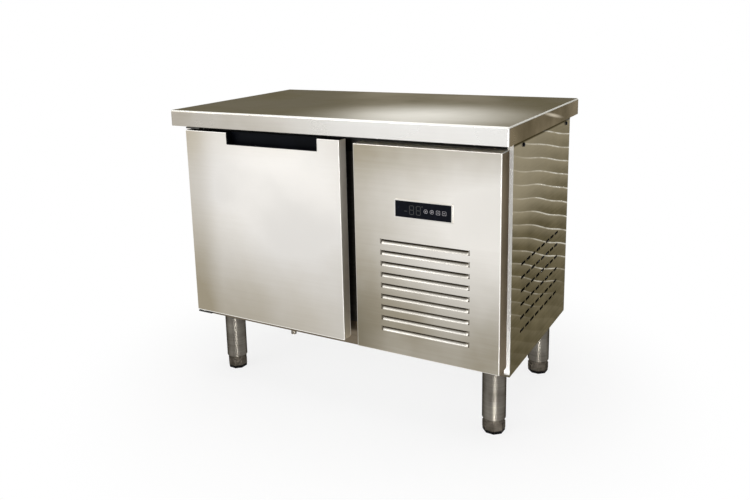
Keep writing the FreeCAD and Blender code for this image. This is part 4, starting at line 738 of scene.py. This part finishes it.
worktop_steel, tree, shader, place, tone = brushed_finish(
    "worktop_steel", along_x, rough=(0.24, 0.36), cloud=0.25, marks=0.10, streak=0.0, edge=(0.66, 0.60, 0.50),
    depth=0.00001)
facing = axes_of(tree, add(tree, "ShaderNodeNewGeometry").outputs["Normal"])
upward = ease(tree, facing["Z"], start=0.90, end=0.995)
# A painted highlight along the rounded folds, made matt so that it shows.
fold_highlight = times(tree, ease(tree, facing["Z"], start=0.15, end=0.45),
             ease(tree, facing["Z"], start=0.85, end=0.99, low=1.0, high=0.0))
# The end faces are painted dark, as painted shade.
endways = ease(tree, reckon(tree, "ABSOLUTE", facing["X"]), start=0.6, end=0.9)
# A matt painted highlight near the front of the top.
top_highlight_patch = patch_of(tree, place, centre=(0.24, -0.19, 0.81), reach=(0.40, 0.34, 0.4))
top_colour = tint(tree, mingle(tree, (tone, 0.20), (top_highlight_patch, 0.78)), top_painted_shade, top_painted_highlight)
brushed_rough = shader.inputs["Roughness"].links[0].from_socket
top_rough = reckon(tree, "MULTIPLY_ADD", upward, top_more_rough, brushed_rough)
tree.links.new(top_rough, shader.inputs["Roughness"])
# The front edges carry painted light, lighter towards the right end.
edge_highlight_patch = patch_of(tree, place, centre=(0.50, -0.30, 0.79), reach=(1.0, 0.7, 0.5))
edge_colour = tint(tree, mingle(tree, (tone, 0.35), (edge_highlight_patch, 0.80)), edge_dull, edge_clear)
spot = axes_of(tree, place)
# A pale slanted streak along the right end face.
leaning_z = reckon(tree, "MULTIPLY_ADD", spot["Y"], streak_slope, spot["Z"])
leaning = add(tree, "ShaderNodeCombineXYZ", {"X": spot["X"], "Y": spot["Y"], "Z": leaning_z}).outputs[0]
pale_streak = patch_of(tree, leaning, centre=(0.50, 0.04, 0.801), reach=(0.05, 0.12, 0.007))
end_colour = tint(tree, pale_streak, tint(tree, tone, end_shade_dull, end_shade_clear), streak_pale)
flat_colour = tint(tree, upward, tint(tree, endways, edge_colour, end_colour), top_colour)
tree.links.new(tint(tree, fold_highlight, flat_colour, worktop_fold_highlight), shader.inputs["Base Color"])
matt = reckon(tree, "MAXIMUM", fold_highlight, times(tree, top_highlight_patch, upward))
tree.links.new(ease(tree, matt, 0.0, 1.0, low=1.0, high=matt_metal), shader.inputs["Metallic"])
dress(worktop_steel, "worktop_skin")

chips_per_metre = 260.0
core_board, tree, shader = new_finish("core_board_finish")
place = object_place(tree)
chips = add(tree, "ShaderNodeTexVoronoi", {"Vector": place, "Scale": chips_per_metre}).outputs["Color"]
chip = add(tree, "ShaderNodeSeparateColor", {0: chips}).outputs[0]
board_tone = mingle(tree, (chip, 0.6), (clouds_of(tree, place, 0.05), 0.4))
coat(tree, shader, board_tone, colours=((0.40, 0.27, 0.14), (0.66, 0.50, 0.30)), rough=(0.9, 0.7),
     height=chip, depth=0.0002)
dress(core_board, "worktop_core")


# Machine panel
# A tray of brushed sheet clipped to the frame. Nine louvres are pressed inward in it, and a steel bezel holds
# the display's dark glass above them.

# A mask for a painted highlight line: 1 along the side, top and bottom edges of a part's box, 0 a width
# inside.
fold_highlight_line, line_in, line_out = node_group(
    "fold_highlight_line", {"Place": "NodeSocketVector", "Low": "NodeSocketVector", "High": "NodeSocketVector",
                  "Width": "NodeSocketFloat"}, {"Line": "NodeSocketFloat"})
nearest = 1.0
for first, second in (("Place", "Low"), ("High", "Place")):
    gap = axes_of(fold_highlight_line, vector_step(fold_highlight_line, "SUBTRACT", line_in[first], line_in[second])["Vector"])
    for axis in "XZ":
        nearest = reckon(fold_highlight_line, "MINIMUM", nearest, gap[axis])
line_share = reckon(fold_highlight_line, "DIVIDE", nearest, line_in["Width"])
fold_highlight_line.links.new(ease(fold_highlight_line, line_share, 0.3, 1.0, low=1.0, high=0.0), line_out["Line"])

fold_highlight_width = 0.0024
face_gauge = 0.0006
flange_from = 0.0026
top_flange_from = 0.002


def front_sheet(tree, shader, place, node, face, fold_highlight, flange_shading, top_flange, flange_metal):
    """Colours a folded front: its face, a painted highlight on the folds and painted shading on the flanges.
    """
    low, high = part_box(node)
    sockets = {"Place": place, "Low": low, "High": high, "Width": fold_highlight_width}
    line = add(tree, "ShaderNodeGroup", sockets, node_tree=fold_highlight_line).outputs["Line"]
    spot = axes_of(tree, place)
    behind = ease(tree, spot["Y"], low.y + face_gauge, low.y + flange_from)
    on_top = ease(tree, spot["Z"], high.z - top_flange_from, high.z - face_gauge)
    colour = tint(tree, behind, tint(tree, line, face, fold_highlight), tint(tree, on_top, flange_shading, top_flange))
    tree.links.new(colour, shader.inputs["Base Color"])
    tree.links.new(ease(tree, behind, 0.0, 1.0, low=1.0, high=flange_metal), shader.inputs["Metallic"])


panel_dull = (0.29, 0.258, 0.195)
panel_clear = (0.78, 0.755, 0.71)
panel_corner_shade_colour = (0.17, 0.148, 0.100)
panel_flange_shade_dull = (0.10, 0.078, 0.050)
panel_flange_shade_clear = (0.18, 0.143, 0.098)

panel_steel, tree, shader, place, tone = brushed_finish(
    "panel_steel", along_x, rough=(0.28, 0.40), cloud=0.20, marks=0.15, edge=(0.45, 0.38, 0.28))
# Painted light on the face: a painted highlight towards the right, painted shade in the lower left corner and
# towards the top and bottom.
panel_highlight_patch = patch_of(tree, place, centre=(0.48, -0.296, 0.58), reach=(0.52, 0.6, 0.36))
panel_corner_shade = patch_of(tree, place, centre=(0.06, -0.296, 0.24), reach=(0.16, 0.6, 0.24))
panel_height = axes_of(tree, place)["Z"]
panel_top_shade = ease(tree, panel_height, start=0.62, end=0.73)
panel_foot_shade = ease(tree, panel_height, start=0.24, end=0.46, low=1.0, high=0.0)
panel_light = mingle(tree, (tone, 0.28), (panel_highlight_patch, 1.0), (panel_top_shade, -0.18), (panel_foot_shade, -0.06))
panel_lit = tint(tree, panel_light, panel_dull, panel_clear)
# The side flanges are painted dark as painted shade, the top flange pale teal as a painted reflection, and
# the folds carry a painted highlight line.
front_sheet(tree, shader, place, "machine_panel", face=tint(tree, panel_corner_shade, panel_lit, panel_corner_shade_colour),
            fold_highlight=(0.97, 0.95, 0.90), flange_shading=tint(tree, tone, panel_flange_shade_dull, panel_flange_shade_clear),
            top_flange=(0.78, 0.84, 0.86), flange_metal=0.6)
dress(panel_steel, "machine_panel")

fixing_tree, fixing_tags, fixing_in, fixing_end = geometry_tree(
    "pieces_on_seats",
    {"Seats": "NodeSocketGeometry", "Piece": "NodeSocketObject", "Finish": "NodeSocketMaterial"})
fixing_seats = add(fixing_tree, "GeometryNodeMeshToPoints", {0: fixing_in["Seats"]}).outputs[0]
fixing_turn = add(fixing_tree, "FunctionNodeAlignRotationToVector",
                  {"Vector": named_value(fixing_tree, "facing", "FLOAT_VECTOR")}, axis="Z").outputs[0]
fixing_piece = add(fixing_tree, "GeometryNodeObjectInfo",
                   {"Object": fixing_in["Piece"]}).outputs["Geometry"]
fixing_set = add(fixing_tree, "GeometryNodeInstanceOnPoints",
                 {"Points": fixing_seats, "Instance": fixing_piece, "Rotation": fixing_turn,
                  "Scale": named_value(fixing_tree, "size", "FLOAT")}).outputs[0]
end_tree(fixing_tree, fixing_set, fixing_in["Finish"], fixing_end)


def set_out(name, shape, seats, finish):
    """Sets one shape on every seat, as one plain mesh. A seat has a place, the way it faces and a size."""
    places = [Vector(place) * MM for place, facing, size in seats]
    facings = [number for place, facing, size in seats for number in facing]
    sizes = [size for place, facing, size in seats]
    seed = bpy.data.meshes.new(name + "_seats")
    seed.from_pydata(places, [], [])
    seed.attributes.new("facing", "FLOAT_VECTOR", "POINT").data.foreach_set("vector", facings)
    seed.attributes.new("size", "FLOAT", "POINT").data.foreach_set("value", sizes)
    pattern = bpy.data.objects.new(name + "_pattern", closed_mesh(name + "_pattern", shape))
    piece = grow(name, seed, fixing_tree, fixing_tags, Piece=pattern, Finish=finish)
    bpy.data.objects.remove(pattern)
    return piece


panel_front = -296.0
louvre_x = (169.0, 405.0)
louvre_count = 9
louvre_step = 29.0
louvre_first_top = 511.0
louvre_mouth = 11.0
louvre_rise = 9.5
louvre_depth = 7.0
louvre_end_run = 13.0
louvre_end_stops = 9
louvre_lap = 1.2
lip_proud = 0.15
lip_gauge = 0.5
lip_rows = 9
lip_end_shade = 5.0
half_length = (louvre_x[1] - louvre_x[0]) / 2
end_turn = math.pi / 2 / (louvre_end_stops - 1)
end_stops = [louvre_end_run * (1 - math.cos(i * end_turn)) for i in range(louvre_end_stops)]
lip_stops = [-half_length - louvre_lap] + [-half_length + run for run in end_stops]
lip_stops += [half_length - run for run in reversed(end_stops)] + [half_length + louvre_lap]


def lip_point(x, share):
    """A point of the pressed lip: deep along its middle, running out to the sheet at its ends."""
    inset = min(max(half_length - abs(x), 0.0) / louvre_end_run, 1.0)
    press = math.sqrt(1.0 - (1.0 - inset) ** 2)
    top = louvre_rise * press + (louvre_mouth + louvre_lap) * (1.0 - press)
    rise = -louvre_lap + (top + louvre_lap) * share
    depth = press * louvre_depth * max(rise, 0.0) / louvre_rise
    return Vector((x, depth - lip_proud, rise)) * MM


lip = bmesh.new()
inward = lip.verts.layers.float.new("inward")
for back in (0.0, lip_gauge * MM):
    sheet = []
    for row in range(lip_rows):
        share = row / (lip_rows - 1)
        sheet.append([lip.verts.new(lip_point(x, share) + Vector((0.0, back, 0.0))) for x in lip_stops])
        for vert, x in zip(sheet[-1], lip_stops):
            vert[inward] = max(share, 1.0 - (half_length - abs(x)) / lip_end_shade)
    for low, high in zip(sheet, sheet[1:]):
        join_rows(lip, low, high)
bmesh.ops.bridge_loops(lip, edges=[edge for edge in lip.edges if edge.is_boundary])
middle_x = (louvre_x[0] + louvre_x[1]) / 2
lip_seats = [((middle_x, panel_front, louvre_first_top - louvre_mouth - i * louvre_step), (0, 0, 1), 1.0)
             for i in range(louvre_count)]
# The lip is painted dark along its upper part and at its ends, as painted shade from the sheet above.
lip_dull = (0.50, 0.475, 0.425)
lip_clear = (0.66, 0.635, 0.585)
lip_shade = (0.055, 0.045, 0.030)
lip_steel, tree, shader, place, tone = brushed_finish(
    "lip_steel", along_x, rough=(0.30, 0.42), cloud=0.20, marks=0.15)
lip_shade_share = add(tree, "ShaderNodeAttribute", attribute_name="inward").outputs["Fac"]
lip_shaded = ease(tree, lip_shade_share, start=0.18, end=0.72)
lip_colour = tint(tree, lip_shaded, tint(tree, tone, lip_dull, lip_clear), lip_shade)
tree.links.new(lip_colour, shader.inputs["Base Color"])
lips = set_out("louvre_lips", lip, lip_seats, lip_steel)
belong(lips, "cabinet", "brushed_stainless")

brushed_steel("bezel_finish", along_x, rough=(0.28, 0.40), dull=(0.60, 0.58, 0.54), clear=(0.72, 0.70, 0.66),
              cloud=0.04, on=["controller_bezel"])
moulded("window_glass", deep=(0.002, 0.003, 0.006), pale=(0.005, 0.006, 0.010), rough=(0.06, 0.14),
        pebble=240.0, depth=0.00001, gloss=0.06, on=["controller_window"])

# The display's marks lie on the glass: a minus, two digits, a dot and four round or square key marks.
mark_front = -298.66
mark_back = -298.50


def plate(shape, outline):
    """A thin flat mark of the display, from its outline in the plane of the glass."""
    front = [shape.verts.new((x * MM, mark_front * MM, z * MM)) for x, z in outline]
    back = [shape.verts.new((x * MM, mark_back * MM, z * MM)) for x, z in outline]
    shape.faces.new(front)
    shape.faces.new(list(reversed(back)))
    join_rows(shape, back, front, closed=True)


def bar(shape, start, end, width):
    """A straight stroke with pointed ends."""
    start, end = Vector(start), Vector(end)
    run = (end - start).normalized() * width / 2
    side = Vector((-run.y, run.x))
    corners = (start, start + run + side, end - run + side, end, end - run - side, start + run - side)
    plate(shape, [tuple(corner) for corner in corners])


def rounded(centre, reach, square, points=24):
    """A closed round outline, or a rounded square when square is high."""
    outline = []
    for i in range(points):
        angle = 2 * math.pi * i / points
        across, up = math.cos(angle), math.sin(angle)
        outline.append((centre[0] + reach * math.copysign(abs(across) ** (2 / square), across),
                        centre[1] + reach * math.copysign(abs(up) ** (2 / square), up)))
    return outline


def around(items):
    """Each item with the next one, and the last with the first."""
    return list(zip(items, items[1:] + items[:1]))


circle = 2.0
soft_square = 7.0
digit_low = 584.0
digit_high = 605.5
digit_middle = (digit_low + digit_high) / 2
digit_x = ((251.5, 262.5), (269.5, 280.5))
minus_x = (236.5, 245.5)
minus_drop = 4
minus_z = digit_middle - minus_drop
dot_x = 285.0
dot_radius = 1.6
stroke = 1.9
stroke_gap = 0.3
digits = bmesh.new()
bar(digits, (minus_x[0], minus_z), (minus_x[1], minus_z), stroke)
for left, right in digit_x:
    for z in (digit_low, digit_middle, digit_high):
        bar(digits, (left + stroke_gap, z), (right - stroke_gap, z), stroke)
    for x in (left, right):
        bar(digits, (x, digit_low + stroke_gap), (x, digit_middle - stroke_gap), stroke)
        bar(digits, (x, digit_middle + stroke_gap), (x, digit_high - stroke_gap), stroke)
plate(digits, rounded((dot_x, digit_high), dot_radius, circle, points=16))
digit_paint = moulded("digit_paint", deep=(0.009, 0.010, 0.010), pale=(0.017, 0.018, 0.018),
                      rough=(0.25, 0.35), pebble=300.0, depth=0.00001)
set_piece(digits, "display_digits", digit_paint, "cabinet", "display_black")

key_places = ((294.5, circle), (310.5, circle), (326.5, soft_square), (342.5, soft_square))
key_z = 595.0
key_outer = 5.2
key_inner = 4.4
key_sign = 2.6
key_stroke = 1.3
key_marks = bmesh.new()
for x, square in key_places:
    outer = rounded((x, key_z), key_outer, square)
    inner = rounded((x, key_z), key_inner, square)
    for (start, end), (inner_start, inner_end) in zip(around(outer), around(inner)):
        plate(key_marks, [start, end, inner_end, inner_start])
    bar(key_marks, (x - key_sign, key_z), (x + key_sign, key_z), key_stroke)
    if square == circle:
        bar(key_marks, (x, key_z - key_sign), (x, key_z + key_sign), key_stroke)
key_paint = moulded("key_mark_paint", deep=(0.34, 0.33, 0.35), pale=(0.52, 0.50, 0.52),
                    rough=(0.30, 0.45), pebble=300.0, depth=0.00001)
set_piece(key_marks, "display_key_marks", key_paint, "cabinet", "display_black")


# Door
# A folded steel skin round a foam core, with a black grip cap let into a notch of its top edge, a black cap
# along its bottom and a formed plastic liner behind. It turns on two pins in plastic bushes.

door_dull = (0.33, 0.290, 0.215)
door_clear = (0.71, 0.690, 0.658)
door_flange_shade = (0.36, 0.315, 0.24)
door_flange_lit = (0.80, 0.76, 0.67)

door_steel, tree, shader, place, tone = brushed_finish(
    "door_steel", along_x, rough=(0.28, 0.40), cloud=0.24, marks=0.15, edge=(0.80, 0.74, 0.64))
door_spot = axes_of(tree, place)
# Painted light on the face: a painted highlight in the middle and at the lower right, and painted shade along
# the left edge.
door_highlight_patch = patch_of(tree, place, centre=(-0.13, -0.296, 0.58), reach=(0.70, 0.6, 0.42))
door_corner_highlight = patch_of(tree, place, centre=(0.05, -0.296, 0.22), reach=(0.35, 0.6, 0.25))
door_left_shade = ease(tree, door_spot["X"], start=-0.42, end=-0.34, low=1.0, high=0.0)
door_light = mingle(tree, (tone, 0.26), (door_highlight_patch, 1.10), (door_corner_highlight, 0.32), (door_left_shade, -0.28))
# The side flanges are painted pale at the top and dark at the bottom, as painted light and shade; the folds
# carry a painted highlight line.
door_flange_light_share = ease(tree, door_spot["Z"], start=0.25, end=0.75)
front_sheet(tree, shader, place, "door_skin", face=tint(tree, door_light, door_dull, door_clear),
            fold_highlight=(0.93, 0.91, 0.86), flange_shading=tint(tree, door_flange_light_share, door_flange_shade, door_flange_lit),
            top_flange=(0.40, 0.41, 0.40), flange_metal=0.2)
dress(door_steel, "door_skin")

black_plastic = moulded("black_plastic_finish", deep=(0.0015, 0.002, 0.003), pale=(0.004, 0.005, 0.008),
                        rough=(0.34, 0.48), gloss=0.05, on=["door_handle_cap", "door_bottom_cap"])
moulded("pale_plastic_finish", deep=(0.62, 0.60, 0.55), pale=(0.74, 0.72, 0.67), rough=(0.38, 0.52),
        on=["door_liner"])
moulded("bearing_plastic_finish", deep=(0.50, 0.49, 0.45), pale=(0.62, 0.61, 0.57), rough=(0.40, 0.55),
        on=["hinge_bushes"])

# The grip cap's rim covers the cut edge of the notch.
notch_x = (-306.0, -11.0)
notch_z = (721.0, 753.6)
rim_width = 2.4
rim_corner = 3.5
rim_corner_points = 9
rim_y = (-296.5, -293.0)
rim_section = ((0.0, rim_y[0]), (rim_width, rim_y[0]), (rim_width, rim_y[1]), (0.0, rim_y[1]))


def notch_outline(inset):
    """The notch's open outline, moved in by inset, with its two lower corners rounded."""
    left = notch_x[0] + inset
    right = notch_x[1] - inset
    centre_z = notch_z[0] + inset + rim_corner
    step = math.pi / 2 / (rim_corner_points - 1)
    outline = [(left, notch_z[1])]
    for centre_x, turn in ((left + rim_corner, math.pi), (right - rim_corner, 1.5 * math.pi)):
        for i in range(rim_corner_points):
            angle = turn + i * step
            outline.append((centre_x + rim_corner * math.cos(angle), centre_z + rim_corner * math.sin(angle)))
    return outline + [(right, notch_z[1])]


rim = bmesh.new()
rim_lines = []
for inset, y in rim_section:
    rim_lines.append([rim.verts.new((x * MM, y * MM, z * MM)) for x, z in notch_outline(inset)])
for first, second in around(rim_lines):
    join_rows(rim, first, second)
for end in (0, -1):
    rim.faces.new([line[end] for line in rim_lines])
set_piece(rim, "grip_rim", black_plastic, "door", "black_plastic")


# Door gasket
# A black rubber bellows with a magnet strip in its face, welded into a frame with mitred corners and pressed
# into the liner's edge. It lies against the front frame when the door is shut.

gasket_x = (-439.0, 42.0)
gasket_z = (229.0, 741.0)
gasket_root = -260.0
# Across the frame from its outer edge, and out from the liner.
gasket_profile = [(2, 0), (14, 0), (14.4, 2.4), (12.6, 3.8), (10.2, 5.6), (13.2, 7.6), (15.2, 9.2),
                  (15.9, 11), (15.9, 13.6), (15.2, 14.7), (0.8, 14.7), (0.1, 13.6), (0.1, 11), (0.8, 9.2),
                  (2.8, 7.6), (5.8, 5.6), (3.4, 3.8), (1.6, 2.4)]


def softened(outline):
    """Cuts every corner of a closed outline once."""
    cut = []
    for (x, y), (next_x, next_y) in around(outline):
        cut += [(0.75 * x + 0.25 * next_x, 0.75 * y + 0.25 * next_y),
                (0.25 * x + 0.75 * next_x, 0.25 * y + 0.75 * next_y)]
    return cut


gasket = bmesh.new()
corners = [[], [], [], []]
for inset, out in softened(softened(gasket_profile)):
    left, right = gasket_x[0] + inset, gasket_x[1] - inset
    low, high = gasket_z[0] + inset, gasket_z[1] - inset
    for corner, (x, z) in zip(corners, ((left, low), (right, low), (right, high), (left, high))):
        corner.append(gasket.verts.new((x * MM, (gasket_root + out) * MM, z * MM)))
for here, there in around(corners):
    join_rows(gasket, here, there, closed=True)
gasket_rubber = moulded("gasket_rubber_finish", deep=(0.009, 0.009, 0.009), pale=(0.026, 0.026, 0.025),
                        rough=(0.55, 0.75), pebble=700.0, gloss=0.2)
set_piece(gasket, "gasket_bellows", gasket_rubber, "door", "gasket_rubber", "door_gasket")


# Hinge brackets, screws and bolts
# Folded zinc-plated brackets hold the door's pins, each on two screws. Dimpled pan heads fix the brackets,
# the top rail and the right side, where black plugs cover them; hexagon bolts hold the leg plates.

brushed_steel("dark_zinc_finish", along_x, rough=(0.34, 0.50), dull=(0.05, 0.05, 0.048),
              clear=(0.12, 0.118, 0.11), cloud=0.02, on=["top_hinge_bracket", "bottom_hinge_bracket"])
screw_metal = 0.4
bright_zinc = brushed_steel("bright_zinc_finish", along_x, rough=(0.24, 0.38),
                            dull=(0.66, 0.65, 0.62), clear=(0.86, 0.85, 0.82), cloud=0.01)
bright_zinc.node_tree.nodes["Principled BSDF"].inputs["Metallic"].default_value = screw_metal

# Each fixing is turned about the origin with its seat at height 0.
origin = (0, 0)
forward = (0, -1, 0)
rightward = (1, 0, 0)
downward = (0, 0, -1)
round_sides = 24
screw_profile = [(0, -4), (2.0, -4), (2.0, 0), (3.5, 0), (3.5, 0.6), (3.2, 1.2), (2.5, 1.7), (1.7, 1.95),
                 (1.35, 1.9), (1.15, 0.9), (0, 0.8)]
bracket_front = -249
bracket_screw_x = (-447.5, -423)
bracket_screw_z = (751, 199)
rail_front = -245
rail_screw_x = (138, 396)
rail_screw_z = 757
side_face = 491
side_screw_y = (-172, 203)
side_screw_z = 750
side_screw_size = 1.43
side_screws = [(side_face, y, side_screw_z) for y in side_screw_y]
screw = bmesh.new()
turned(screw, screw_profile, origin, round_sides)
screw_seats = [((x, bracket_front, z), forward, 1.0) for x in bracket_screw_x for z in bracket_screw_z]
screw_seats += [((x, rail_front, rail_screw_z), forward, 1.0) for x in rail_screw_x]
screw_seats += [(place, rightward, side_screw_size) for place in side_screws]
screws = set_out("pan_head_screws", screw, screw_seats, bright_zinc)
belong(screws, "cabinet", "zinc_steel", "case_screws")

plug_profile = [(0, 0.2), (5.2, 0.2), (5.2, 2.4), (4.5, 3.3), (2.6, 4.0), (0, 4.2)]
plug = bmesh.new()
turned(plug, plug_profile, origin, round_sides)
plugs = set_out("side_screw_plugs", plug, [(place, rightward, 1.0) for place in side_screws], black_plastic)
belong(plugs, "cabinet", "black_plastic")

bolt_head_profile = [(0, 0), (7.2, 0), (7.2, 3.9), (6.4, 4.8), (5.8, 5.0), (0, 5.0)]
bolt_shank_profile = [(0, -4), (4, -4), (4, 0.5), (0, 0.5)]
bolt_head_sides = 6
bolt_shank_sides = 20
plate_under = 182
bolt_offsets = (-31, 31)
bolt = bmesh.new()
turned(bolt, bolt_head_profile, origin, bolt_head_sides)
turned(bolt, bolt_shank_profile, origin, bolt_shank_sides)
bolt_seats = [((x + dx, y + dy, plate_under), downward, 1.0) for x in leg_x.values() for y in leg_y.values()
              for dx in bolt_offsets for dy in bolt_offsets]
bolts = set_out("leg_plate_bolts", bolt, bolt_seats, bright_zinc)
belong(bolts, "cabinet", "zinc_steel", "leg_bolts")
